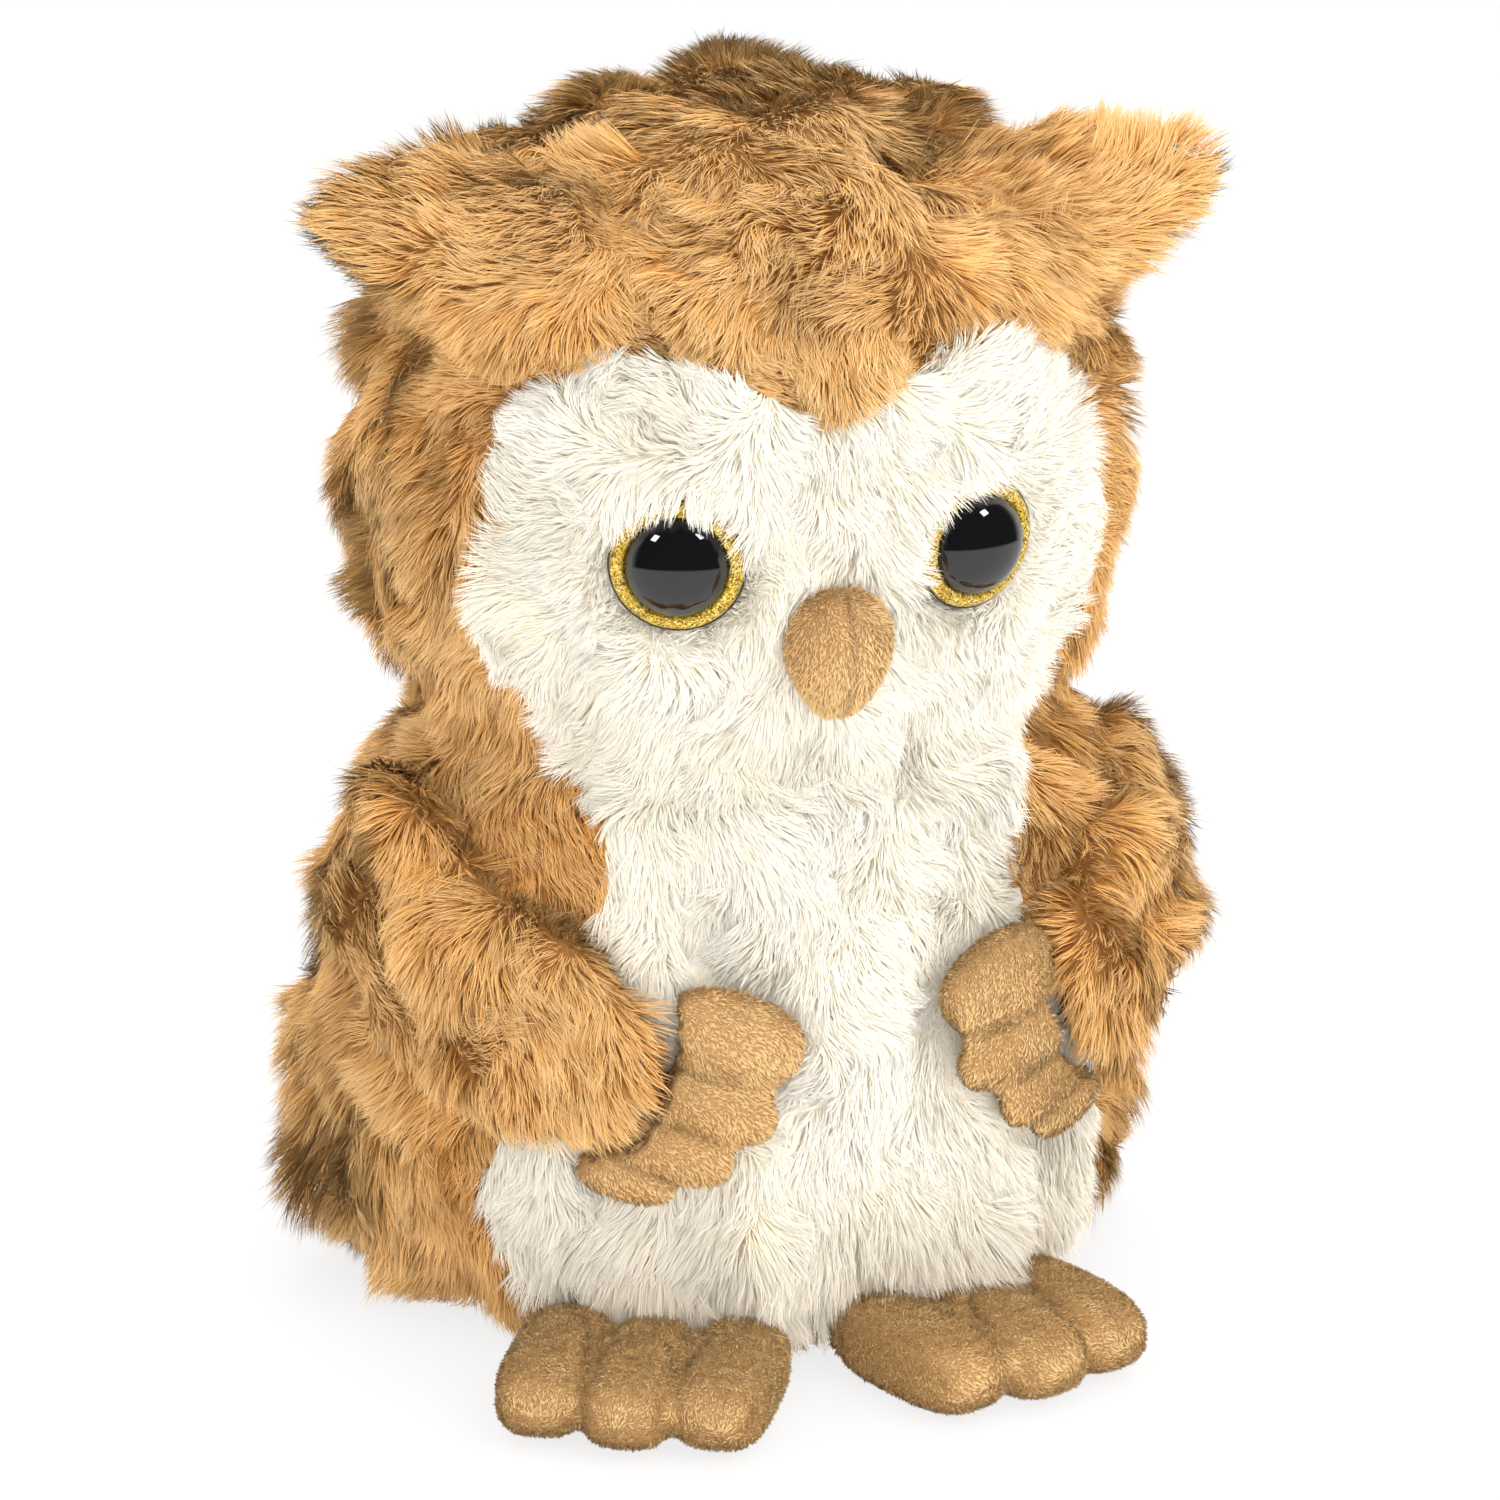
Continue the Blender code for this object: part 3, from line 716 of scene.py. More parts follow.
def new_material(name: str) -> tuple[Material, Tree, Node]:
    """A material with its node tree and its shader.

    Args:
        name: its name.

    Returns:
        The material, its tree and its shader.
    """
    made = bpy.data.materials.new(name)
    made.use_nodes = True
    return made, made.node_tree, made.node_tree.nodes["Principled BSDF"]


def placed(tree: Tree, group: Tree, **values: object) -> Node:
    """Places a group in a material's tree with its own values. An underscore stands for a space.

    Args:
        tree: where it goes.
        group: the group.
        values: the inputs' values.

    Returns:
        The group's node.
    """
    node = tree.nodes.new("ShaderNodeGroup")
    node.node_tree = group
    for title, value in values.items():
        node.inputs[title.replace("_", " ")].default_value = value
    return node


def attribute(tree: Tree, name: str) -> Socket:
    """The number that a mesh stores under a name.

    Args:
        tree: where the node goes.
        name: the stored number's name.

    Returns:
        Its socket.
    """
    node = tree.nodes.new("ShaderNodeAttribute")
    node.attribute_name = name
    return node.outputs["Fac"]


@dataclass(frozen=True)
class PileFinish:
    """The colours of a pile, from its roots to its tips. The roots' darker colour is partly the fibres' own
    tone and partly painted shade deep in the pile.
    """

    name: str
    root: Colour
    middle: Colour
    tip: Colour
    warm: Colour
    dull: Colour
    spread: float
    turn: float = 0.5
    roughness: float = 0.62
    sheen: float = 0.20
    own_side: float = 0.42

    def material(self, effects: Effects) -> Material:
        """Builds the strand material: a colour along each strand, darker towards the root partly as painted
        shade, varied by tuft, lock and strand.

        Args:
            effects: the groups that materials share.

        Returns:
            The material.
        """
        made, tree, shader = new_material(self.name)
        shader.inputs["Roughness"].default_value = self.roughness
        shader.inputs["Sheen Weight"].default_value = self.sheen
        shader.inputs["Sheen Roughness"].default_value = 0.45
        shader.inputs["Sheen Tint"].default_value = (*self.tip, 1)
        shader.inputs["Specular IOR Level"].default_value = 0.12
        # the ramp darkens towards the root: partly the fibres' own tone, partly painted shade deep in the
        # pile
        ramp = tree.nodes.new("ShaderNodeValToRGB")
        ramp.color_ramp.interpolation = "EASE"
        ramp.color_ramp.elements[0].color = (*self.root, 1)
        ramp.color_ramp.elements[1].color = (*self.tip, 1)
        ramp.color_ramp.elements.new(self.turn).color = (*self.middle, 1)
        tree.links.new(attribute(tree, "along"), ramp.inputs["Fac"])
        warm, dull = (*self.warm, 1), (*self.dull, 1)
        tone = placed(tree, effects.tone, Warm=warm, Dull=dull, Spread=self.spread)
        tree.links.new(ramp.outputs["Color"], tone.inputs["Colour"])
        tree.links.new(attribute(tree, "warmth"), tone.inputs["Warmth"])
        tree.links.new(attribute(tree, "tint"), tone.inputs["Tint"])
        tree.links.new(tone.outputs["Colour"], shader.inputs["Base Color"])
        geometry = tree.nodes.new("ShaderNodeNewGeometry")
        side = placed(tree, effects.side, Own_Side=self.own_side)
        tree.links.new(geometry.outputs["Backfacing"], side.inputs["Backfacing"])
        tree.links.new(side.outputs["Normal"], shader.inputs["Normal"])
        return made


@dataclass(frozen=True)
class ClothFinish:
    """The woven backing that a pile is rooted in."""

    name: str
    colour: Colour

    def material(self, effects: Effects) -> Material:
        """Builds a matt knitted cloth with a fine bump and painted shade between its threads.

        Args:
            effects: the groups that materials share.

        Returns:
            The material.
        """
        made, tree, shader = new_material(self.name)
        shader.inputs["Roughness"].default_value = 0.9
        shader.inputs["Specular IOR Level"].default_value = 0.1
        knit = placed(tree, effects.knit, Colour=(*self.colour, 1), Scale=900.0)
        tree.links.new(knit.outputs["Colour"], shader.inputs["Base Color"])
        bump = tree.nodes.new("ShaderNodeBump")
        bump.inputs["Strength"].default_value = 0.4
        bump.inputs["Distance"].default_value = 0.0004
        tree.links.new(knit.outputs["Height"], bump.inputs["Height"])
        tree.links.new(bump.outputs["Normal"], shader.inputs["Normal"])
        return made


BROWN_PILE = PileFinish(
    "brown_pile",
    # root: partly the brown's own tone, partly painted shade deep in the pile
    root=(0.50, 0.200, 0.040),
    middle=(0.77, 0.405, 0.130),
    tip=(0.94, 0.605, 0.275),
    warm=(1.03, 0.97, 0.88),
    dull=(0.97, 0.98, 0.99),
    spread=0.15,
    turn=0.40,
    sheen=0.02,
    own_side=0.2,
)
WHITE_PILE = PileFinish(
    "white_pile",
    # root: its darker yellow is painted shade in the pile's hollows
    root=(0.975, 0.870, 0.640),
    middle=(0.985, 0.925, 0.790),
    tip=(0.990, 0.940, 0.835),
    warm=(1.0, 0.985, 0.95),
    dull=(1.0, 1.0, 1.0),
    spread=0.012,
    roughness=0.60,
    sheen=0.1,
    own_side=0.0,
)


TAN_PILE = PileFinish(
    "tan_pile",
    # root: partly the tan's own tone, partly painted shade deep in the pile
    root=(0.52, 0.290, 0.110),
    middle=(0.78, 0.500, 0.220),
    tip=(0.90, 0.620, 0.310),
    warm=(1.03, 0.99, 0.95),
    dull=(0.98, 1.0, 1.01),
    spread=0.12,
    sheen=0.05,
    own_side=0.3,
)


@dataclass(frozen=True)
class PlasticFinish:
    """A smooth plastic."""

    name: str
    colour: Colour
    roughness: float
    ior: float = 1.5

    def material(self, effects: Effects) -> Material:
        """Builds the plastic with a faint unevenness in its gloss.

        Args:
            effects: the groups that materials share.

        Returns:
            The material.
        """
        made, tree, shader = new_material(self.name)
        shader.inputs["Base Color"].default_value = (*self.colour, 1)
        shader.inputs["IOR"].default_value = self.ior
        gloss = placed(tree, effects.uneven, Roughness=self.roughness, Scale=120.0)
        tree.links.new(gloss.outputs["Roughness"], shader.inputs["Roughness"])
        return made


@dataclass(frozen=True)
class GlitterFinish:
    """Gold flakes, each tilted its own way, under a clear coat."""

    name: str = "gold_glitter"
    flakes: float = 3600.0
    tilt: float = 1.1

    def material(self) -> Material:
        """Builds the flakes from the random colours of small cells.

        Returns:
            The material.
        """
        made, tree, shader = new_material(self.name)
        nodes, links = tree.nodes, tree.links
        shader.inputs["Metallic"].default_value = 0.35
        shader.inputs["Roughness"].default_value = 0.28
        shader.inputs["Coat Weight"].default_value = 0.3
        shader.inputs["Coat Roughness"].default_value = 0.05
        coordinates = nodes.new("ShaderNodeTexCoord")
        cells = nodes.new("ShaderNodeTexVoronoi")
        cells.inputs["Scale"].default_value = self.flakes
        links.new(coordinates.outputs["Object"], cells.inputs["Vector"])
        split = nodes.new("ShaderNodeSeparateColor")
        links.new(cells.outputs["Color"], split.inputs["Color"])
        ramp = nodes.new("ShaderNodeValToRGB")
        ramp.color_ramp.interpolation = "CONSTANT"
        ramp.color_ramp.elements[0].color = (0.17, 0.080, 0.006, 1)
        ramp.color_ramp.elements[1].position = 0.20
        ramp.color_ramp.elements[1].color = (0.50, 0.29, 0.014, 1)
        ramp.color_ramp.elements.new(0.5).color = (0.80, 0.52, 0.040, 1)
        ramp.color_ramp.elements.new(0.84).color = (1.0, 0.88, 0.36, 1)
        links.new(split.outputs["Red"], ramp.inputs["Fac"])
        links.new(ramp.outputs["Color"], shader.inputs["Base Color"])
        centred = nodes.new("ShaderNodeVectorMath")
        centred.operation = "SUBTRACT"
        centred.inputs[1].default_value = (0.5, 0.5, 0.5)
        links.new(cells.outputs["Color"], centred.inputs[0])
        scaled = nodes.new("ShaderNodeVectorMath")
        scaled.operation = "SCALE"
        scaled.inputs["Scale"].default_value = self.tilt
        links.new(centred.outputs["Vector"], scaled.inputs[0])
        geometry = nodes.new("ShaderNodeNewGeometry")
        tilted = nodes.new("ShaderNodeVectorMath")
        links.new(geometry.outputs["Normal"], tilted.inputs[0])
        links.new(scaled.outputs["Vector"], tilted.inputs[1])
        straight = nodes.new("ShaderNodeVectorMath")
        straight.operation = "NORMALIZE"
        links.new(tilted.outputs["Vector"], straight.inputs[0])
        links.new(straight.outputs["Vector"], shader.inputs["Normal"])
        return made


class Wardrobe:
    """The materials, each built once."""

    def __init__(self) -> None:
        """Builds every finish."""
        effects = Effects()
        self.brown_pile = BROWN_PILE.material(effects)
        self.white_pile = WHITE_PILE.material(effects)
        self.tan_pile = TAN_PILE.material(effects)
        self.brown_cloth = ClothFinish("brown_backing", (0.42, 0.200, 0.060)).material(effects)
        self.white_cloth = ClothFinish("white_backing", (0.90, 0.85, 0.75)).material(effects)
        self.tan_cloth = ClothFinish("tan_backing", (0.52, 0.31, 0.13)).material(effects)
        self.pouch_cloth = ClothFinish("pouch_weave", (0.75, 0.74, 0.70)).material(effects)
        self.washer = PlasticFinish("washer_nylon", (0.82, 0.82, 0.80), 0.45).material(effects)
        self.black = PlasticFinish("black_gloss", (0.004, 0.004, 0.005), 0.05, 1.7).material(effects)
        self.glitter = GlitterFinish().material()


@dataclass
class Frame:
    """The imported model: its nodes and what the pieces are fitted to."""

    nodes: dict[str, Thing]
    thin: float = field(default_factory=lambda: 1.0)

    def tree(self, *names: str) -> BVHTree:
        """A search tree over the solids of some nodes.

        Args:
            names: the nodes.

        Returns:
            The search tree.
        """
        points: list[Vector] = []
        faces: list[tuple[int, ...]] = []
        for name in names:
            mesh = self.nodes[name].data
            base = len(points)
            points += [vert.co.copy() for vert in mesh.vertices]
            faces += [tuple(base + index for index in face.vertices) for face in mesh.polygons]
        return BVHTree.FromPolygons(points, faces)

    def styled(self, style: PileStyle) -> PileStyle:
        return replace(style, density=style.density * self.thin, width=style.width / self.thin**0.5)


def shown(name: str, mesh: Mesh, material: Material) -> Thing:
    """Links a mesh as a piece with one material.

    Args:
        name: the piece's name.
        mesh: its mesh.
        material: its material.

    Returns:
        The piece.
    """
    thing = bpy.data.objects.new(name, mesh)
    mesh.materials.append(material)
    bpy.context.scene.collection.objects.link(thing)
    return thing


def distances(tree: BVHTree, points: Array) -> Array:
    """How far each point lies from the solids of a tree."""
    return np.array([tree.find_nearest(point)[3] for point in points.tolist()])


@dataclass
class RoundCover:
    """The torso, neck and head as one turned surface, shrunk onto the solids by rays from outside."""

    frame: Frame
    columns: int = 168
    inset: float = 0.0044
    white_inset: float = 0.0034
    roll: float = 0.0030
    shelf: float = 0.0040
    hollow: float = 0.0040
    neck_fill: float = 0.0025
    border: float = 0.0045
    valley: float = 0.0040
    spread: float = 0.0045
    lump: float = 0.0028
    lump_size: float = 0.030
    cap_height: float = 0.188
    floor_gap: float = 0.0006
    neck_edges: Span = (0.1122, 0.1141)
    reach: float = 0.3
    neck_low: float = 0.103
    neck_high: float = 0.124
    limbs: tuple[str, ...] = ("arm_sleeve_left", "arm_sleeve_right", "hand_left", "hand_right")
    points: Array = field(init=False)

    def __post_init__(self) -> None:
        """Casts the rays and smooths what they meet."""
        tree = self.frame.tree("body_skin", "belly_panel", "head_skin", "face_panel")
        torso = np.linspace(self.floor_gap, self.neck_edges[0], 46)
        heights = np.concatenate([torso, np.linspace(self.neck_edges[1], self.cap_height, 30)])
        rows = [(height, 0.0) for height in heights]
        rows += [(self.cap_height, angle) for angle in np.linspace(0, pi / 2, 32)[1:-1]]
        radius = np.empty((len(rows), self.columns))
        for row, (height, lift) in enumerate(rows):
            for column in range(self.columns):
                radius[row, column] = self.met(tree, height, lift, 2 * pi * column / self.columns)
        radius = self.smoothed(self.patched(radius, rows))
        top = self.met(tree, self.cap_height, pi / 2, 0)
        turn = 2 * pi * np.arange(self.columns) / self.columns
        grid = []
        for (height, lift), ring in zip(rows, radius):
            flat = ring * cos(lift)
            high = height + ring * sin(lift)
            grid.append(np.stack([flat * np.cos(turn), flat * np.sin(turn), high], axis=1))
        self.rows = len(rows)
        points = np.concatenate([*grid, [[0, 0, self.cap_height + top]]])
        mesh = bpy.data.meshes.new("round_cover")
        mesh.from_pydata(points.tolist(), [], self.faces())
        mesh.update()
        self.normals = unit(read(mesh.vertices, "normal", 3))
        self.outer = points
        white = self.frame.tree("belly_panel", "face_panel")
        brown = self.frame.tree("body_skin", "head_skin")
        self.white = distances(brown, points) - distances(white, points)
        self.white -= self.border * smooth_step(0.116, 0.130, points[:, 2])
        self.white -= self.border * (1 - smooth_step(0.045, 0.065, points[:, 2]))
        depth = self.inset + Drift(3, self.lump_size).at(points) * self.lump
        depth += (self.white_inset - self.inset) * smooth_step(-0.004, 0.004, self.white)
        roll = np.exp(-(((self.white + 0.010) / 0.006) ** 2))
        roll *= smooth_step(0.172, 0.184, points[:, 2])
        depth -= self.roll * roll + self.brow(points)
        neck = np.exp(-(((points[:, 2] - 0.114) / 0.006) ** 2)) * smooth_step(0.0, 0.006, self.white)
        depth -= self.neck_fill * neck
        self.free = distances(self.frame.tree(*self.limbs), points)
        depth -= self.valley * (1 - smooth_step(0.002, 0.014, self.free)) * (self.white < 0)
        low_back = smooth_step(-0.02, 0.03, points[:, 1]) * smooth_step(0.0, 0.02, points[:, 2])
        depth -= self.spread * low_back * (1 - smooth_step(0.070, 0.100, points[:, 2]))
        for side in Side:
            eye = Eye(self.frame, side)
            off = np.linalg.norm(points - eye.centre, axis=1) / eye.radius
            under = (eye.centre[2] - points[:, 2]) / np.maximum(off * eye.radius, WELD)
            below = smooth_step(0.1, 0.7, under)
            collar = 0.0025 - 0.0045 * smooth_step(0.80, 1.0, off) * (1 - 0.55 * below)
            depth = collar + (depth - collar) * smooth_step(1.25, 1.9, off)
        self.points = points - self.normals * depth[:, None]
        self.points[:, 2] = np.maximum(self.points[:, 2], self.floor_gap)
        bpy.data.meshes.remove(mesh)

    def brow(self, points: Array) -> Array:
        """How far the brow stands out over the side of the head, from the face's corner to the ear.

        Args:
            points: places on or near the cover.

        Returns:
            One height a place, less than 0 in the hollow below it.
        """
        x, y, z = np.abs(points[:, 0]), points[:, 1], points[:, 2]
        over = z - (0.188 + (x - 0.042) * 0.33)
        shelf = smooth_step(-0.002, 0.004, over) * (1 - smooth_step(0.008, 0.022, over))
        under = smooth_step(-0.030, -0.008, over) * (1 - smooth_step(-0.005, 0.001, over))
        under *= smooth_step(-0.006, 0.002, -self.white)
        there = smooth_step(0.034, 0.044, x) * (1 - smooth_step(-0.02, 0.01, y))
        return there * (self.shelf * shelf - self.hollow * under)

    def patched(self, radius: Array, rows: list[tuple[float, float]]) -> Array:
        """Closes the holes that the eyes' stems leave, so that the cover runs on behind the eyes.

        Args:
            radius: the radii met, one row a ring.
            rows: each ring's height and lift.

        Returns:
            The radii without holes.
        """
        eyes = [Eye(self.frame, side) for side in Side]
        turn = 2 * pi * np.arange(self.columns) / self.columns
        hidden = np.zeros(radius.shape, bool)
        for row, (height, lift) in enumerate(rows):
            if lift > 0 or height > self.cap_height:
                continue
            ring = radius[row]
            places = np.stack([ring * np.cos(turn), ring * np.sin(turn), np.full(len(ring), height)], axis=1)
            for eye in eyes:
                across = places - eye.centre
                across -= np.outer(across @ eye.axis, eye.axis)
                hidden[row] |= (np.linalg.norm(across, axis=1) < eye.radius * 1.05) & (places[:, 1] < 0)
        filled = radius.copy()
        filled[hidden] = radius[~hidden].mean()
        for _ in range(400):
            around = np.roll(filled, 1, axis=1) + np.roll(filled, -1, axis=1)
            around[1:-1] += filled[:-2] + filled[2:]
            filled[hidden] = around[hidden] / 4
        return filled

    def met(self, tree: BVHTree, height: float, lift: float, turn: float) -> float:
        """How far out the solids reach in one direction.

        Args:
            tree: the solids.
            height: where the ray aims.
            lift: its angle up.
            turn: its angle round.

        Returns:
            The distance from its aim.
        """
        way = Vector((cos(turn) * cos(lift), sin(turn) * cos(lift), sin(lift)))
        start = Vector((0, 0, height)) + way * self.reach
        hit = tree.ray_cast(start, -way)
        return self.reach - hit[3]

    @staticmethod
    def smoothed(radius: Array) -> Array:
        """Takes the facets out of the measured radii and keeps the crease at the neck.

        Args:
            radius: the radii, one row a ring.

        Returns:
            The smooth radii.
        """
        for _ in range(5):
            radius = (np.roll(radius, 1, axis=1) + 2 * radius + np.roll(radius, -1, axis=1)) / 4
        for _ in range(2):
            inner = (radius[:-2] + 2 * radius[1:-1] + radius[2:]) / 4
            radius = np.concatenate([radius[:1], inner, radius[-1:]])
        return radius

    def faces(self) -> list[tuple[int, ...]]:
        """Quads between the rings and triangles round the crown.

        Returns:
            Each face's points.
        """
        made: list[tuple[int, ...]] = []
        for row in range(self.rows - 1):
            for column in range(self.columns):
                beside = (column + 1) % self.columns
                low, high = row * self.columns, (row + 1) * self.columns
                made.append((low + column, low + beside, high + beside, high + column))
        last = (self.rows - 1) * self.columns
        top = self.rows * self.columns
        made += [(last + column, last + (column + 1) % self.columns, top) for column in range(self.columns)]
        return made

    def cover(self) -> Cover:
        """The whole surface, to strew roots on.

        Returns:
            The surface with its marks.
        """
        triangles: list[tuple[int, ...]] = []
        for face in self.faces():
            triangles.append((face[0], face[1], face[2]))
            if len(face) == 4:
                triangles.append((face[0], face[2], face[3]))
        marks = {"white": self.white, "free": self.free, "hollow": np.clip(-self.brow(self.outer), 0, None)}
        return Cover(self.points, self.normals, np.array(triangles), marks)

    def sheet(self, name: str, keep: Callable[[Array, float], bool]) -> Mesh:
        """The cloth where a test of a face's middle and whiteness holds.

        Args:
            name: the mesh's name.
            keep: the test.

        Returns:
            The sheet's mesh.
        """
        faces = []
        for face in self.faces():
            middle = self.outer[list(face)].mean(0)
            if keep(middle, float(self.white[list(face)].mean())):
                faces.append(face)
        used = sorted({index for face in faces for index in face})
        place = {index: number for number, index in enumerate(used)}
        mesh = bpy.data.meshes.new(name)
        mesh.from_pydata(self.points[used].tolist(), [], [[place[i] for i in face] for face in faces])
        mesh.update()
        mesh.shade_smooth()
        return mesh


@dataclass
class Eye:
    """One eye's place, read from its ring's solid."""

    frame: Frame
    side: Side

    def __post_init__(self) -> None:
        """Finds the ring's middle and the way that it faces."""
        mesh = self.frame.nodes[f"eye_ring_{self.side.word}"].data
        points = np.array([vert.co for vert in mesh.vertices])
        self.centre = points.mean(0)
        spread = points - self.centre
        self.axis = np.linalg.svd(spread, full_matrices=False)[2][2]
        if self.axis[1] > 0:
            self.axis = -self.axis
        flat = spread - np.outer(spread @ self.axis, self.axis)
        self.radius = float(np.linalg.norm(flat, axis=1).max())


@dataclass
class Body:
    """The owl's round body: its cloth, and the long pile on torso, neck and head."""

    frame: Frame
    wardrobe: Wardrobe
    eyes: tuple[Eye, ...]
    brow_height: float = 0.158
    brow_depth: float = -0.060
    drape_gap: float = 0.0006
    piece_strands: int = 34_000
    ear_roots: dict[Side, tuple[Array, Array]] = field(default_factory=dict)

    def __post_init__(self) -> None:
        """Finds where the ears are sewn on and which way they point."""
        for side in Side:
            points = np.array([vert.co for vert in self.frame.nodes[f"ear_{side.word}"].data.vertices])
            order = np.argsort(points[:, 0] * side.value)
            share = len(order) // 6
            root, tip = points[order[:share]].mean(0), points[order[-share:]].mean(0)
            self.ear_roots[side] = (root, unit(tip - root))

    def comb(self, points: Array, normals: Array) -> Array:
        """Brown pile: down the sides and back, and away from the crown.

        Args:
            points: places on or near the cover.
            normals: the normals there.

        Returns:
            One direction a place.
        """
        away = points - np.array([0, 0.012, 0])
        away[:, 2] = 0
        crown = smooth_step(0.185, 0.215, points[:, 2]) * (1 - smooth_step(0.028, 0.050, points[:, 1]))
        crown = crown[:, None]
        down = np.array([0, 0, -1.0])
        way = unit(unit(away) * 0.25 + down)
        slant = np.full(len(points), -0.25)
        aside = unit(np.stack([points[:, 0] * 12 - 0.25, slant * 2.4, slant], axis=1))
        way = way * (1 - crown) + aside * crown
        for side in Side:
            root, along = self.ear_roots[side]
            near = 0.75 * (1 - smooth_step(0.010, 0.030, np.linalg.norm(points - root, axis=1)))[:, None]
            way = way * (1 - near) + along * near
        return way

    def white_comb(self, points: Array, normals: Array) -> Array:
        """White pile: down on the chest and in the face, and out towards the edge of the face.

        Args:
            points: places on or near the cover.
            normals: the normals there.

        Returns:
            One direction a place.
        """
        middle = np.array([0, self.brow_depth, self.brow_height])
        out = unit(points - middle)
        down = np.array([0, 0, -1.0])
        head = smooth_step(0.108, 0.130, points[:, 2])
        wide = np.linalg.norm((points - middle) / (0.048, 0.05, 0.036), axis=1)
        edge = head * smooth_step(0.35, 0.95, wide)
        edge *= 1 - np.exp(-((points[:, 0] / 0.015) ** 2)) * smooth_step(0.148, 0.160, points[:, 2])
        way = down + (out - down) * edge[:, None]
        for eye in self.eyes:
            spread = points - eye.centre
            off = np.linalg.norm(spread, axis=1) / eye.radius
            above = self.above(eye, spread, off)
            near = 1 - smooth_step(1.25, 1.9, off)
            away = unit(spread)
            lid = unit(down * 0.8 - away)
            ring = unit(down * 0.3 + away) * (1 - above[:, None]) + lid * above[:, None]
            way = way * (1 - near[:, None]) + ring * near[:, None]
        return way

    def rise(self, roots: Roots) -> Array:
        """The pile lies flat on the crown, and where an arm or a hand presses on it.

        Args:
            roots: where the strands start.

        Returns:
            One share a root.
        """
        stand = 1 - 0.30 * smooth_step(0.195, 0.222, roots.points[:, 2])
        stand *= 1 + 0.5 * smooth_step(0.0, 0.002, roots.marks["hollow"])
        stand *= 0.35 + 0.65 * smooth_step(0.0, 0.006, roots.marks["free"])
        for eye in self.eyes:
            spread = roots.points - eye.centre
            off = np.linalg.norm(spread, axis=1) / eye.radius
            near = 1 - smooth_step(1.2, 1.7, off)
            stand *= 1 + near * (0.25 + 0.15 * self.above(eye, spread, off))
        return stand * (1 + 0.6 * self.over_feet(roots))

    @staticmethod
    def over_feet(roots: Roots) -> Array:
        """How far a place belongs to the low front of the belly, whose pile hangs over the feet."""
        front = smooth_step(0.030, 0.045, -roots.points[:, 1])
        return front * (1 - smooth_step(0.022, 0.036, roots.points[:, 2]))

    def brown_length(self, roots: Roots) -> Array:
        """Brown pile is longer low on the body, and shorter where an arm presses on it.

        Args:
            roots: where the strands start.

        Returns:
            One share a root.
        """
        low = 1.22 - 0.22 * smooth_step(0.070, 0.112, roots.points[:, 2])
        low *= 0.42 + 0.58 * smooth_step(0.0, 0.009, -roots.marks["white"])
        low *= 1 - 0.3 * smooth_step(0.0, 0.002, roots.marks["hollow"])
        return low * (0.5 + 0.5 * smooth_step(0.0, 0.005, roots.marks["free"]))

    def white_length(self, roots: Roots) -> Array:
        """White pile is shorter close to the eyes, apart from the lids, and under the hands.

        Args:
            roots: where the strands start.

        Returns:
            One share a root.
        """
        share = 0.45 + 0.55 * smooth_step(0.0, 0.006, roots.marks["free"])
        share *= 1 + 0.9 * self.over_feet(roots)
        for eye in self.eyes:
            spread = roots.points - eye.centre
            off = np.linalg.norm(spread, axis=1) / eye.radius
            above = self.above(eye, spread, off)
            near = 1 - smooth_step(1.0, 1.8, off)
            share = share * (1 - near * (0.40 - 0.50 * above))
        return share

    @staticmethod
    def above(eye: Eye, spread: Array, off: Array) -> Array:
        """How far a place belongs to the lid: over the eye, and on the side of the beak.

        Args:
            eye: the eye.
            spread: the places seen from its middle.
            off: their distances in its radii.

        Returns:
            One share a place.
        """
        lean = 0.20 if eye.side is Side.RIGHT else 1.1
        raised = (spread[:, 2] - spread[:, 0] * eye.side.value * lean) / np.hypot(1, lean)
        return smooth_step(0.25, 0.65, raised / np.maximum(off * eye.radius, WELD))

    def build(self) -> None:
        """Builds the sheets of cloth, then the piles, each on its body."""
        surface = RoundCover(self.frame)
        low, high = surface.neck_low, surface.neck_high
        bands = {
            "torso": lambda z: z < low,
            "neck": lambda z: low <= z <= high,
            "head": lambda z: z > high,
        }
        stands_for = {
            ("torso", False): ("body_skin", "body_stuffing"),
            ("torso", True): ("belly_panel",),
            ("head", False): ("head_skin", "head_stuffing"),
            ("head", True): ("face_panel",),
        }
        for band, inside in bands.items():
            for white in (False, True):
                word = "white" if white else "brown"
                mesh = surface.sheet(f"{band}_{word}_cloth", lambda p, w: inside(p[2]) and (w > 0) == white)
                cloth = self.wardrobe.white_cloth if white else self.wardrobe.brown_cloth
                piece = shown(f"{band}_{word}_cloth", mesh, cloth)
                self.dress(piece, band)
                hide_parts(*stands_for.get((band, white), ()))
                LOG.info("%s: %d faces", piece.name, len(mesh.polygons))
        self.grow_piles(surface)

    def dress(self, piece: Thing, band: str) -> None:
        """Puts a piece on its body, or, across the neck, bakes its place into its mesh.

        Args:
            piece: the piece.
            band: its band of the owl.
        """
        if band == "neck":
            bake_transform(piece)
        else:
            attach(piece, band)

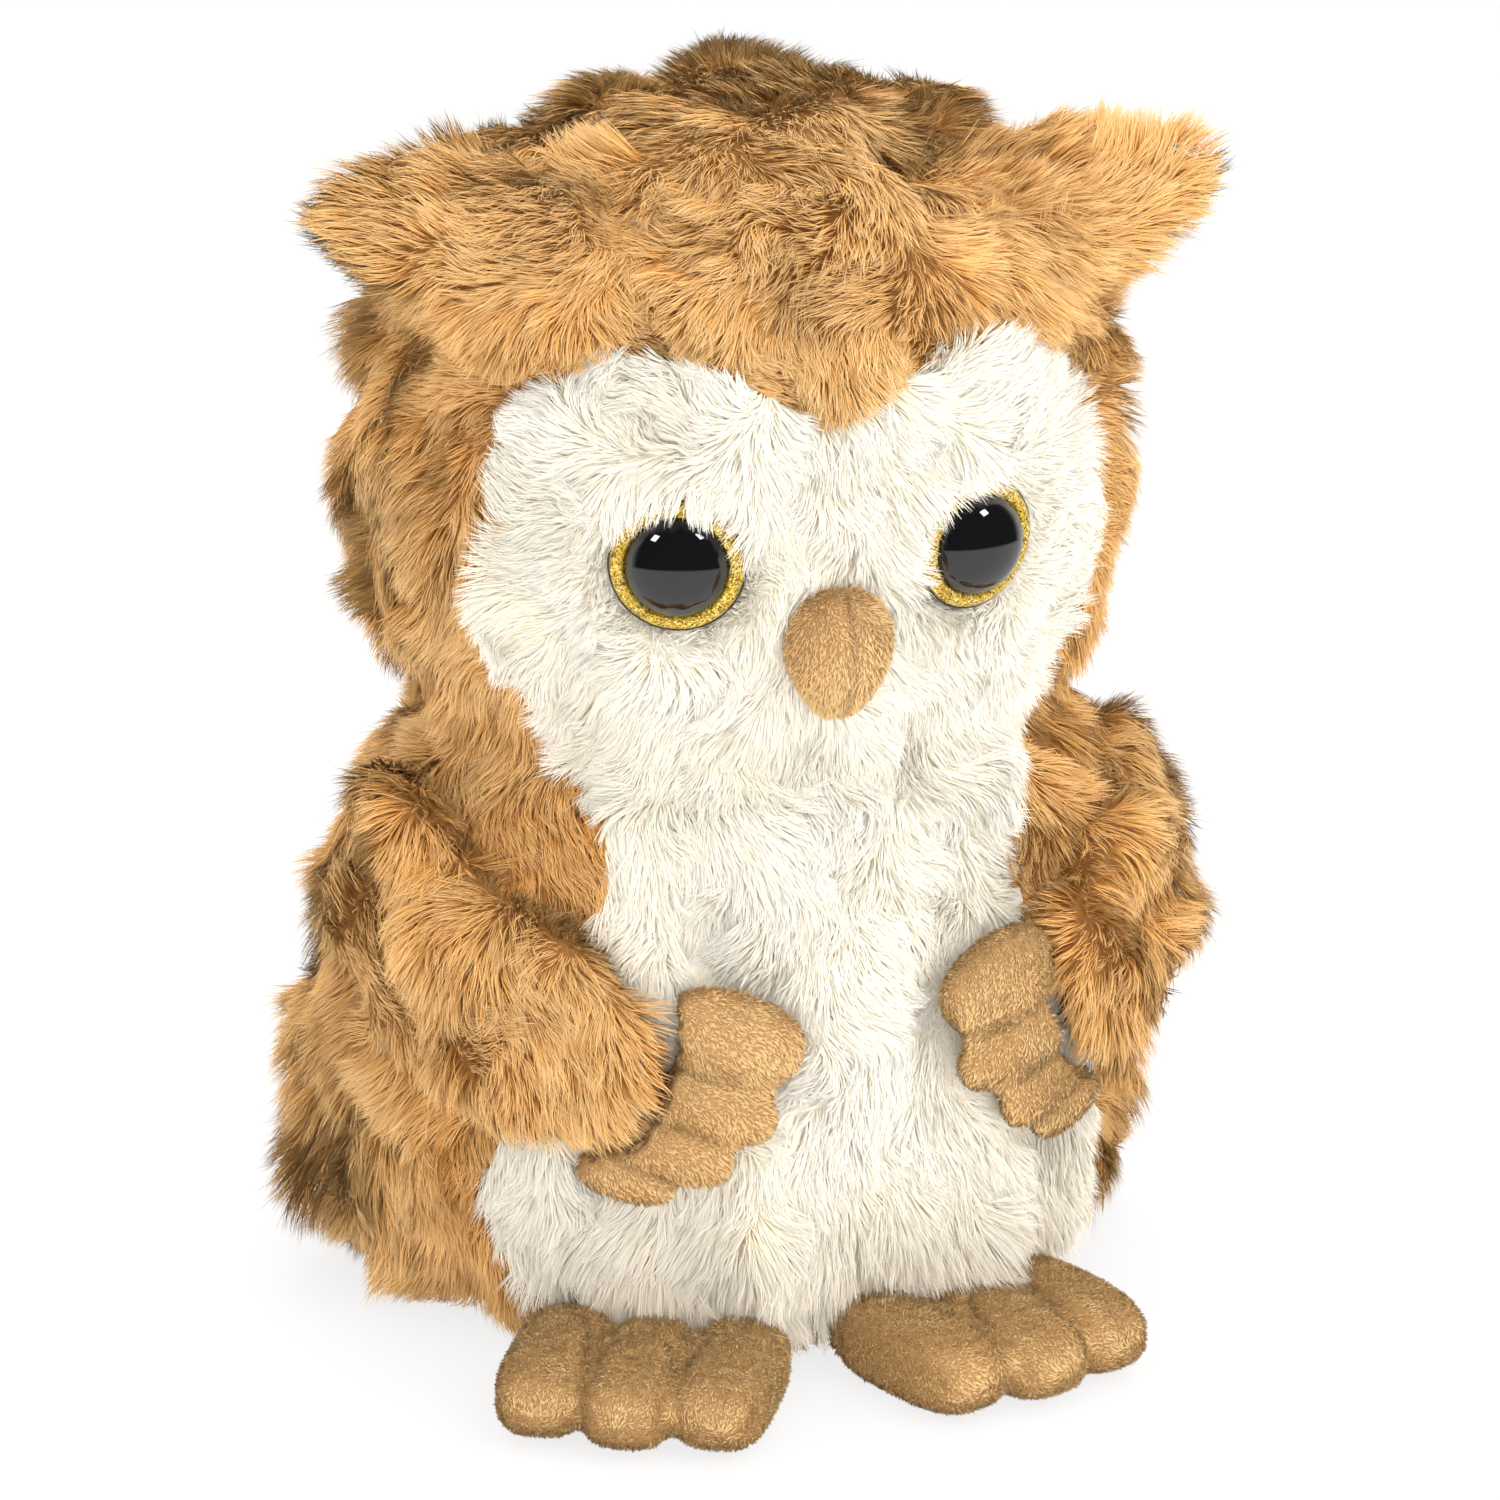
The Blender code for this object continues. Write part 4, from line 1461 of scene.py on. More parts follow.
    def grow_piles(self, surface: RoundCover) -> None:
        """Grows the brown and the white pile and shares them out over the bodies.

        Args:
            surface: the cloth that they grow on.
        """
        cover = surface.cover()
        brown_style = self.frame.styled(PileStyle(seed=11))
        white_style = self.frame.styled(
            PileStyle(
                length=0.0070,
                root_lift=radians(50),
                tip_lift=radians(16),
                swirl=radians(26),
                swirl_size=0.024,
                patch_size=0.0056,
                patch_turn=radians(36),
                patch_lift=radians(6),
                patch_raise=0.0007,
                patch_reach=0.30,
                tuft_size=0.0034,
                lock_size=0.0010,
                tuft_pull=0.42,
                lock_pull=0.0,
                ruffle=radians(5),
                parting_lift=radians(8),
                density=5.6e6,
                width=0.00023,
                stray=0.25,
                tones=(0.5, 0.3, 0.5),
                softness=1.0,
                lock_round=0.0,
                tuft_round=0.16,
                seed=31,
            )
        )
        piles = (
            (False, brown_style, self.comb, self.brown_length, self.wardrobe.brown_pile),
            (True, white_style, self.white_comb, self.white_length, self.wardrobe.white_pile),
        )
        for white, style, comb, length, material in piles:
            rng = np.random.default_rng(style.seed + 5)
            roots = cover.scatter(style.density, rng)
            roots = roots.kept((roots.marks["white"] > 0) == white)
            for eye in self.eyes:
                off = np.linalg.norm(roots.points - eye.centre, axis=1)
                roots = roots.kept(off > eye.radius * 1.01)
            pile = grow(roots, style, comb, length, self.rise)
            pile.lines[:, :, 2] = np.maximum(pile.lines[:, :, 2], 0.0004)
            for side in Side:
                self.drape(pile, self.frame.nodes[f"foot_{side.word}"])
            for eye in self.eyes:
                off = np.linalg.norm(roots.points - eye.centre, axis=1) / eye.radius
                near = (1 - smooth_step(1.2, 2.0, off))[:, None] * 0.85
                pile.shade = unit(pile.shade * (1 - near) + eye.axis * near)
            self.share_out(pile, roots, white, material, rng)

    def drape(self, pile: Pile, form: Thing) -> None:
        """Moves what lies inside a form out to its surface, so that the strands hang over it.

        Args:
            pile: the pile, which is changed.
            form: the form under it.
        """
        corners = np.array([vert.co for vert in form.data.vertices])
        low, high = corners.min(0), corners.max(0)
        tree = self.frame.tree(form.name)
        near = np.argwhere(((pile.lines > low) & (pile.lines < high)).all(2))
        for strand, level in near.tolist():
            point = Vector(pile.lines[strand, level])
            spot, normal, _, gap = tree.find_nearest(point)
            if (point - spot).dot(normal) < 0 or gap < self.drape_gap:
                pile.lines[strand, level] = spot + normal * self.drape_gap

    def share_out(
        self,
        pile: Pile,
        roots: Roots,
        white: bool,
        material: Material,
        rng: np.random.Generator,
    ) -> None:
        """Splits a pile into pieces by body and by the way round the owl.

        Args:
            pile: the pile.
            roots: its roots.
            white: whether it is white.
            material: its material.
            rng: the seeded source of chance.
        """
        z = roots.points[:, 2]
        turn = np.arctan2(roots.points[:, 0], -roots.points[:, 1])
        low, high = 0.100, 0.127
        bands = {"torso": z < low, "neck": (z >= low) & (z <= high), "head": z > high}
        word = "white" if white else "brown"
        for band, inside in bands.items():
            most = int(np.ceil(inside.sum() / self.piece_strands))
            sector = np.floor((turn + pi) / (2 * pi) * most).astype(int).clip(0, most - 1)
            for number in range(most):
                mask = inside & (sector == number)
                if mask.sum() < 3:
                    continue
                name = f"{band}_{word}_pile" + (f"_{number + 1}" if most > 1 else "")
                piece = shown(name, strand_mesh(name, pile.kept(mask), rng), material)
                piece.visible_shadow = not white
                self.dress(piece, band)
                LOG.info("%s: %d strands", name, mask.sum())


@dataclass
class SoftForm:
    """A closed stuffed form's cover: its solid's outer skin, remeshed evenly and rounded."""

    frame: Frame
    nodes: tuple[str, ...]
    voxel: float
    rounds: int = 4
    inset: float = 0.0
    lump: float = 0.0
    lump_size: float = 0.026
    closing: float = 0.0
    flare: Matrix | None = None
    extra: tuple[Mesh, ...] = ()

    @staticmethod
    def keep_largest(bm: bmesh.types.BMesh) -> None:
        """Drops every part of a mesh but the widest, and turns its faces out.

        Args:
            bm: the mesh, which is changed.
        """
        left = set(bm.verts)
        parts: list[set[bmesh.types.BMVert]] = []
        while left:
            front = [left.pop()]
            part = set(front)
            while front:
                vert = front.pop()
                beside = {edge.other_vert(vert) for edge in vert.link_edges} & left
                left -= beside
                part |= beside
                front += beside
            parts.append(part)
        parts.sort(key=lambda part: max(v.co.x for v in part) - min(v.co.x for v in part))
        inner = [vert for part in parts[:-1] for vert in part]
        bmesh.ops.delete(bm, geom=inner, context="VERTS")
        if bm.calc_volume(signed=True) < 0:
            bmesh.ops.reverse_faces(bm, faces=bm.faces)

    def joined(self, name: str) -> Mesh:
        """The outer skins of the nodes, each without the skins of its cavities.

        Args:
            name: the mesh's name.

        Returns:
            One mesh of all the skins.
        """
        bm = bmesh.new()
        for node in self.nodes:
            part = bmesh.new()
            part.from_mesh(self.frame.nodes[node].data)
            bmesh.ops.remove_doubles(part, verts=part.verts, dist=WELD)
            self.keep_largest(part)
            skin = bpy.data.meshes.new(name)
            part.to_mesh(skin)
            part.free()
            bm.from_mesh(skin)
            bpy.data.meshes.remove(skin)
        if self.flare:
            bmesh.ops.create_icosphere(bm, subdivisions=4, radius=1, matrix=self.flare)
        for part in self.extra:
            bm.from_mesh(part)
        mesh = bpy.data.meshes.new(name)
        bm.to_mesh(mesh)
        bm.free()
        return mesh

    def piece(self, name: str, material: Material) -> Thing:
        """Builds the cover as a shown piece.

        Args:
            name: the piece's name.
            material: its material.

        Returns:
            The piece.
        """
        rough = bpy.data.objects.new(name + "_rough", self.joined(name))
        bpy.context.scene.collection.objects.link(rough)
        for step in (0.0, self.closing, -self.closing):
            if step:
                swell = rough.modifiers.new("swell", "DISPLACE")
                swell.mid_level = 0
                swell.strength = step
            remesh = rough.modifiers.new("remesh", "REMESH")
            remesh.mode = "VOXEL"
            remesh.voxel_size = self.voxel
            if not self.closing:
                break
        state = bpy.context.evaluated_depsgraph_get()
        mesh = bpy.data.meshes.new_from_object(rough.evaluated_get(state))
        mesh.name = name
        bpy.data.objects.remove(rough)
        bm = bmesh.new()
        bm.from_mesh(mesh)
        self.keep_largest(bm)
        for _ in range(self.rounds):
            bmesh.ops.smooth_vert(bm, verts=bm.verts, factor=0.5, **ALL_AXES)
        bm.normal_update()
        lumps = Drift(7, self.lump_size).at(np.array([vert.co for vert in bm.verts])) * self.lump
        for vert, lump in zip(bm.verts, lumps):
            vert.co -= vert.normal * (self.inset + lump)
        for _ in range(self.rounds):
            bmesh.ops.smooth_vert(bm, verts=bm.verts, factor=0.5, **ALL_AXES)
        bm.to_mesh(mesh)
        bm.free()
        mesh.materials.clear()
        mesh.shade_smooth()
        return shown(name, mesh, material)


def drawn_in(piece: Thing, share: float) -> None:
    """Widens a piece a little about x = 0, and narrows it towards its lower end.

    Args:
        piece: the piece.
        share: how much narrower its lower end gets.
    """
    heights = [vert.co.z for vert in piece.data.vertices]
    low, high = min(heights), max(heights)
    for vert in piece.data.vertices:
        down = 1 - (vert.co.z - low) / (high - low)
        vert.co.x *= 1.14 - share * down**1.8


@dataclass
class Limb:
    """A stuffed limb: a cover and a pile that ride on one body."""

    frame: Frame
    node: str
    body: str
    slot: str
    form: SoftForm
    style: PileStyle
    comb: Comb
    beside: tuple[str, ...]
    cloth: Material
    pile: Material
    hides: tuple[str, ...] = ()
    bare: float = 0.0008
    open: float = 0.005
    # how strongly painted shade darkens the pile in the creases and along the beak's seam
    painted_crease_shade: float = 0.0
    taper: float = 0.0
    sink: float = 0.0
    inner_share: float = 0.6
    rise: Share = full

    def build(self) -> None:
        """Builds the cover and grows its pile, shorter close to its neighbours."""
        cover_piece = self.form.piece(f"{self.node}_cloth", self.cloth)
        if self.taper:
            drawn_in(cover_piece, self.taper)
        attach(cover_piece, self.body)
        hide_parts(self.node, *self.hides)
        if self.painted_crease_shade:
            self.score(cover_piece)
        cover = Cover.of(cover_piece)
        outer = cover.points + cover.normals * self.form.inset
        free = distances(self.frame.tree(*self.beside), outer)
        inner = np.zeros(len(free))
        if self.sink:
            inner = self.settle(cover_piece, cover, outer)
            cover = Cover.of(cover_piece)
        cover.marks["free"] = free
        cover.marks["inner"] = inner
        if self.painted_crease_shade:
            cover.marks["crease"] = self.from_crease(cover)
        style = self.frame.styled(self.style)
        rng = np.random.default_rng(style.seed + 5)
        roots = cover.scatter(style.density, rng)
        roots = roots.kept((roots.marks["free"] > self.bare) & (roots.points[:, 2] > 0.0004))
        roots = roots.kept((roots.marks["inner"] < 0.5) | (rng.random(len(roots.points)) < self.inner_share))

        def length(at: Roots) -> Array:
            """Shorter where a neighbour presses on the pile."""
            share = 0.5 + 0.5 * smooth_step(self.bare, self.open, at.marks["free"])
            return share * (1 - 0.4 * at.marks["inner"])

        pile = grow(roots, style, self.comb, length, self.rise)
        # painted shade: strands rooted in a crease, or in the beak's seam groove, are darkened
        if self.painted_crease_shade:
            pile.tint = pile.tint - self.painted_crease_shade * np.exp(-((roots.marks["crease"] / 0.0008) ** 2))
        pile.lines[:, :, 2] = np.maximum(pile.lines[:, :, 2], 0.0003)
        piece = shown(f"{self.node}_pile", strand_mesh(f"{self.node}_pile", pile, rng), self.pile)
        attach(piece, self.body)
        LOG.info("%s: %d strands", piece.name, len(pile.lines))

    def settle(self, piece: Thing, cover: Cover, outer: Array) -> Array:
        """Sinks the edges next to the torso into its cover, which lies deeper than its solid.

        Args:
            piece: the limb's cover.
            cover: the same cover as arrays.
            outer: where the pile's middle lies over each of its points.

        Returns:
            1 where the cover lies against the torso and faces it, 0 elsewhere.
        """
        tree = self.frame.tree("body_skin", "belly_panel")
        hand = distances(self.frame.tree(self.node.replace("arm_sleeve", "hand")), outer)
        hits = [tree.find_nearest(point) for point in outer.tolist()]
        out = np.array([hit[1] for hit in hits])
        gap = np.array([hit[3] for hit in hits])
        depth = self.sink * (1 - smooth_step(0.001, 0.009, gap)) * smooth_step(0.004, 0.014, hand)
        points = cover.points - out * depth[:, None]
        piece.data.vertices.foreach_set("co", points.astype(np.float32).ravel())
        piece.data.update()
        return ((gap < 0.007) & ((cover.normals * out).sum(1) < -0.35)).astype(float)

    def from_crease(self, cover: Cover) -> Array:
        """Finds how far each point lies along the cover from a crease of the node or the beak's seam.

        Args:
            cover: the cover.

        Returns:
            One distance a point.
        """
        if self.taper:
            return np.where(cover.normals[:, 1] < 0.1, np.abs(cover.points[:, 0]), 1.0)
        bm = bmesh.new()
        bm.from_mesh(self.frame.nodes[self.node].data)
        bmesh.ops.remove_doubles(bm, verts=bm.verts, dist=WELD)
        marks = []
        for edge in bm.edges:
            if len(edge.link_faces) == 2 and edge.calc_face_angle_signed(0) < -radians(14):
                ends = np.array([vert.co for vert in edge.verts])
                steps = max(2, int(np.linalg.norm(ends[1] - ends[0]) / 0.0003))
                marks.append(ends[0] + np.linspace(0, 1, steps)[:, None] * (ends[1] - ends[0]))
        bm.free()
        if not marks:
            return np.ones(len(cover.points))
        lines = np.concatenate(marks)
        gap = cover.points - lines[nearest(lines, cover.points)]
        sunk = (gap * cover.normals).sum(1, keepdims=True)
        return np.linalg.norm(gap - cover.normals * sunk, axis=1)

    def score(self, piece: Thing) -> None:
        """Presses the creases into the cover.

        Args:
            piece: the cover's piece.
        """
        cover = Cover.of(piece)
        depth = 0.0009 * np.exp(-((self.from_crease(cover) / 0.0009) ** 2))
        points = cover.points - cover.normals * depth[:, None]
        piece.data.vertices.foreach_set("co", points.astype(np.float32).ravel())
        piece.data.update()


SHORT = PileStyle(
    length=0.0012,
    patch_raise=0.0,
    root_lift=radians(62),
    tip_lift=radians(28),
    swirl=radians(18),
    swirl_size=0.012,
    patch_size=0.004,
    patch_turn=radians(12),
    patch_lift=radians(5),
    tuft_size=0.0013,
    lock_size=0.00055,
    tuft_pull=0.15,
    lock_pull=0.70,
    ruffle=radians(14),
    ruffle_size=0.0024,
    parting_lift=0.0,
    density=9.0e6,
    width=0.00019,
    levels=3,
    stray=0.02,
    tones=(0.10, 0.20, 0.2),
    softness=0.85,
    lock_round=0.30,
    tuft_round=0.1,
    seed=71,
)


def boxy(centre: Array, half: Array, axes: Array, plan: float, rise: float, steps: int = 48) -> Mesh:
    """Makes a rounded box: a superellipsoid.

    Args:
        centre: its middle.
        half: half its length, width and height.
        axes: its three directions, one a row.
        plan: how square it is seen from above, 2 being an ellipse.
        rise: how square it is seen from the side, 2 being an ellipse.
        steps: the number of steps round it.

    Returns:
        The closed mesh.
    """
    bm = bmesh.new()
    bmesh.ops.create_uvsphere(bm, u_segments=steps, v_segments=steps // 2, radius=1)
    for vert in bm.verts:
        across = max(np.hypot(vert.co.x, vert.co.y), 1e-9)
        flat = np.array([vert.co.x, vert.co.y]) / across
        square = max(abs(flat[0]) ** plan + abs(flat[1]) ** plan, 1e-9) ** (-1 / plan)
        up = (across**rise + abs(vert.co.z) ** rise) ** (-1 / rise)
        local = np.array([*(flat * square * across * up), vert.co.z * up]) * half
        vert.co = Vector(centre + local @ axes)
    mesh = bpy.data.meshes.new("rounded_box")
    bm.to_mesh(mesh)
    bm.free()
    return mesh


@dataclass
class Limbs:
    """Ears, sleeves, hands, feet and the beak."""

    frame: Frame
    wardrobe: Wardrobe
    right_splay: float = radians(27)
    left_splay: float = radians(20)

    def centre(self, node: str) -> Array:
        """The middle of a node's vertices."""
        return np.array([vert.co for vert in self.frame.nodes[node].data.vertices]).mean(0)

    def tip(self, node: str, side: Side) -> Array:
        """The vertex of a node that lies farthest out to its side."""
        points = np.array([vert.co for vert in self.frame.nodes[node].data.vertices])
        return points[np.argmax(points[:, 0] * side.value)]

    def build(self) -> None:
        """Builds every limb on both sides, and the beak."""
        for number, side in enumerate(Side):
            self.ear(side, 100 + number)
            self.arm(side, 200 + number)
            self.hand(side, 300 + number)
            self.foot(side, 400 + number)
        self.beak()

    def ball(self, node: str, end: Array, radii: tuple[float, float, float]) -> Matrix:
        """A ball at a limb's sewn end, shaped along the limb, across it and through it.

        Args:
            node: the limb's node.
            end: the middle of its sewn end.
            radii: half the ball's size along, across and through the limb.

        Returns:
            The matrix that makes it from a ball of radius one.
        """
        points = np.array([vert.co for vert in self.frame.nodes[node].data.vertices])
        along = unit(points.mean(0) - end)
        flat = points - points.mean(0)
        flat = flat - np.outer(flat @ along, along)
        across = np.linalg.svd(flat, full_matrices=False)[2][0]
        through = np.cross(along, across)
        turn = Matrix([along * radii[0], across * radii[1], through * radii[2]]).transposed().to_4x4()
        turn.translation = Vector(end)
        return turn

    def sewn_end(self, node: str, side: Side, share: float = 0.12) -> Array:
        """The middle of the part of a node that lies nearest to the owl's middle."""
        points = np.array([vert.co for vert in self.frame.nodes[node].data.vertices])
        return points[np.argsort(points[:, 0] * side.value)[: int(len(points) * share)]].mean(0)

    def ear(self, side: Side, seed: int) -> None:
        """An ear tuft, combed to its tip.

        Args:
            side: the owl's own side.
            seed: the seed of its pile.
        """
        node = f"ear_{side.word}"
        way = unit(self.tip(node, side) - self.centre(node))
        end = self.sewn_end(node, side)
        end = end - way * 0.009 + np.array([0, 0.002, -0.006])
        flare = self.ball(node, end, (0.024, 0.023, 0.0160))

        def combed(points: Array, normals: Array) -> Array:
            """Forward and down at the sewn end, and along the tuft beyond it."""
            out = smooth_step(0.0, 0.030, (points - end) @ way)[:, None]
            return way * out + (way * 0.7 + np.array([0, -0.4, -0.5])) * (1 - out)

        style = PileStyle(swirl=radians(26), patch_turn=radians(24), seed=seed)
        Limb(
            self.frame,
            node,
            f"ear_tuft_{side.word}",
            "brown_plush",
            SoftForm(self.frame, (node,), 0.0018, 8, 0.0030, 0.001, flare=flare),
            style,
            combed,
            ("head_skin",),
            self.wardrobe.brown_cloth,
            self.wardrobe.brown_pile,
            bare=0.0002,
            open=0.0006,
        ).build()

    def arm(self, side: Side, seed: int) -> None:
        """A sleeve, combed down to the hand.

        Args:
            side: the owl's own side.
            seed: the seed of its pile.
        """
        node = f"arm_sleeve_{side.word}"
        hand = self.centre(f"hand_{side.word}") + np.array([0, 0, -0.012])
        shoulder = Matrix.LocRotScale(
            Vector((0.051 * side.value, 0.004, 0.091)), None, Vector((0.021, 0.024, 0.022))
        )

        def combed(points: Array, normals: Array) -> Array:
            """Out, forward and down at the shoulder, and then to the hand."""
            top = smooth_step(0.078, 0.104, points[:, 2])[:, None]
            return unit(hand - points) * (1 - top) + unit(np.array([side.value * 0.8, -0.5, -0.4])) * top

        nodes = (node, f"arm_stuffing_{side.word}")
        style = PileStyle(seed=seed)
        Limb(
            self.frame,
            node,
            f"arm_{side.word}",
            "brown_plush",
            SoftForm(self.frame, nodes, 0.002, 6, 0.0042, 0.0014, closing=0.006, flare=shoulder),
            style,
            combed,
            ("body_skin", "belly_panel", "head_skin", "face_panel"),
            self.wardrobe.brown_cloth,
            self.wardrobe.brown_pile,
            hides=(f"arm_stuffing_{side.word}",),
            bare=-1.0,
            open=0.002,
            sink=0.0062,
            rise=lambda roots: 1 - 0.25 * smooth_step(0.080, 0.100, roots.points[:, 2]),
        ).build()

    def hand(self, side: Side, seed: int) -> None:
        """A hand's four lobes in short pile.

        Args:
            side: the owl's own side.
            seed: the seed of its pile.
        """
        node = f"hand_{side.word}"
        way = unit(self.centre(node) - self.centre(f"arm_sleeve_{side.word}"))
        Limb(
            self.frame,
            node,
            f"arm_{side.word}",
            "tan_plush",
            SoftForm(self.frame, (node,), 0.0007, 2, 0.0006, closing=0.0024),
            replace(SHORT, seed=seed),
            lambda points, normals: np.broadcast_to(way, points.shape),
            ("belly_panel", f"arm_sleeve_{side.word}"),
            self.wardrobe.tan_cloth,
            self.wardrobe.tan_pile,
            bare=0.0006,
            open=0.0012,
            painted_crease_shade=2.5,
        ).build()

    def toes(self, node: str, way: Array) -> tuple[Mesh, ...]:
        """A foot's three toes side by side, within the node's own extents.

        Args:
            node: the node's name.
            way: the way that the foot points.

        Returns:
            One mesh a toe.
        """
        points = np.array([vert.co for vert in self.frame.nodes[node].data.vertices])
        across = np.cross(UP, way)
        ahead, sideways = points @ way, points @ across
        middle = (sideways.min() + sideways.max()) / 2
        half = (sideways.max() - sideways.min()) / 2
        high = points[:, 2].max() / 2
        pitch = half * 0.64
        made = []
        for number in (-1, 0, 1):
            tip = ahead.max() - 0.0028 * abs(number)
            centre = way * (tip - 0.021) + across * (middle + pitch * number) + UP * high
            size = np.array([0.021, half - pitch, high])
            made.append(boxy(centre, size, np.stack([way, across, UP]), 3.4, 2.6))
        return tuple(made)

    def foot(self, side: Side, seed: int) -> None:
        """A foot's three toes in short pile.

        Args:
            side: the owl's own side.
            seed: the seed of its pile.
        """
        node = f"foot_{side.word}"
        splay = self.right_splay if side is Side.RIGHT else self.left_splay
        way = np.array([side.value * sin(splay), -cos(splay), 0])
        Limb(
            self.frame,
            node,
            f"toes_{side.word}",
            "tan_plush",
            SoftForm(self.frame, (), 0.0007, 2, 0.0006, closing=0.0006, extra=self.toes(node, way)),
            replace(SHORT, seed=seed),
            lambda points, normals: np.broadcast_to(way, points.shape),
            ("belly_panel", "body_skin", "base_panel"),
            self.wardrobe.tan_cloth,
            self.wardrobe.tan_pile,
            hides=(f"foot_stuffing_{side.word}",),
            bare=0.0006,
            open=0.0012,
            painted_crease_shade=2.5,
        ).build()

    def beak(self) -> None:
        """The beak in short pile."""
        Limb(
            self.frame,
            "beak",
            "head",
            "tan_plush",
            SoftForm(self.frame, ("beak",), 0.0007, 4, 0.0005),
            replace(SHORT, seed=500, length=0.0013),
            lambda points, normals: np.broadcast_to(-UP, points.shape),
            ("face_panel",),
            self.wardrobe.tan_cloth,
            self.wardrobe.tan_pile,
            bare=0.0006,
            open=0.0012,
            painted_crease_shade=2.5,
            taper=0.36,
        ).build()


def turned(name: str, profile: Sequence[tuple[float, float]], eye: Eye, steps: int = 96) -> Mesh:
    """A turned skin from radii and heights, set on an eye's place and axis.

    Args:
        name: the mesh's name.
        profile: radius and height in turn. A radius of 0 makes a pole.
        eye: where the form sits.
        steps: the number of steps round it.

    Returns:
        The smooth mesh.
    """
    bm = bmesh.new()
    verts = [bm.verts.new((radius, 0, height)) for radius, height in profile]
    edges = [bm.edges.new(pair) for pair in zip(verts, verts[1:])]
    bmesh.ops.spin(bm, geom=[*verts, *edges], cent=(0, 0, 0), axis=(0, 0, 1), angle=2 * pi, steps=steps)
    bmesh.ops.remove_doubles(bm, verts=bm.verts, dist=WELD)
    bmesh.ops.recalc_face_normals(bm, faces=bm.faces)
    turn = Vector(eye.axis).to_track_quat("Z", "Y").to_matrix().to_4x4()
    bmesh.ops.transform(bm, matrix=Matrix.Translation(Vector(eye.centre)) @ turn, verts=bm.verts)
    mesh = bpy.data.meshes.new(name)
    bm.to_mesh(mesh)
    bm.free()
    mesh.shade_smooth()
    return mesh


@dataclass
class Eyes:
    """The domed eyes: a glossy pupil, a ring of glitter and a thin dark rim."""

    frame: Frame
    wardrobe: Wardrobe
    eyes: tuple[Eye, ...]
    pupil: float = 0.0095
    dome_height: float = 0.0072
    base: float = -0.0006

    def build(self) -> None:
        """Turns the three pieces of each eye."""
        for eye in self.eyes:
            word = eye.side.word
            angles = np.linspace(0, pi / 2, 20)
            dome = [(self.pupil * cos(a), self.base + self.dome_height * sin(a)) for a in angles[:-1]]
            dome.append((0.0, self.base + self.dome_height))
            ring = [
                (self.pupil - 0.0003, 0.0008),
                (self.pupil, 0.0013),
                (self.pupil + 0.0005, 0.0015),
                (self.pupil + 0.0013, 0.0012),
                (self.pupil + 0.0021, 0.0006),
                (self.pupil + 0.0024, 0.0000),
                (self.pupil + 0.0024, -0.0006),
            ]
            rim = [
                (self.pupil + 0.0022, -0.0002),
                (self.pupil + 0.0024, 0.00015),
                (eye.radius - 0.0001, -0.0001),
                (eye.radius, -0.0008),
            ]
            parts = (
                ("eye_dome", dome, self.wardrobe.black, "black_dome", (f"eye_dome_{word}",)),
                ("eye_ring", ring, self.wardrobe.glitter, "gold_glitter", (f"eye_ring_{word}",)),
                ("eye_rim", rim, self.wardrobe.black, "black_dome", ()),
            )
            for name, profile, material, slot, nodes in parts:
                full_name = f"{name}_{word}_turned"
                piece = shown(full_name, turned(full_name, profile, eye), material)
                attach(piece, "head")
                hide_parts(*nodes)
            LOG.info("eye %s: turned", word)


@dataclass
class Inside:
    """The base panel's cloth, and the finishes of what stays hidden inside."""

    frame: Frame
    wardrobe: Wardrobe

    def build(self) -> None:
        """Builds the base cloth and paints the hidden nodes."""
        form = SoftForm(self.frame, ("base_panel",), 0.0012, 2)
        piece = form.piece("base_panel_cloth", self.wardrobe.tan_cloth)
        for vert in piece.data.vertices:
            vert.co.z = max(vert.co.z, 0.0)
        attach(piece, "torso")
        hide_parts("base_panel")
        paints = {
            "pellet_pouch": self.wardrobe.pouch_cloth,
            "eye_washer_left": self.wardrobe.washer,
            "eye_washer_right": self.wardrobe.washer,
        }
        for name, material in paints.items():
            mesh = self.frame.nodes[name].data
            mesh.materials.clear()
            mesh.materials.append(material)


@dataclass(frozen=True)
class Softbox:
    """A large soft lamp."""

    name: str
    place: tuple[float, float, float]
    size: float
    watts: float
    mirrored: bool = False


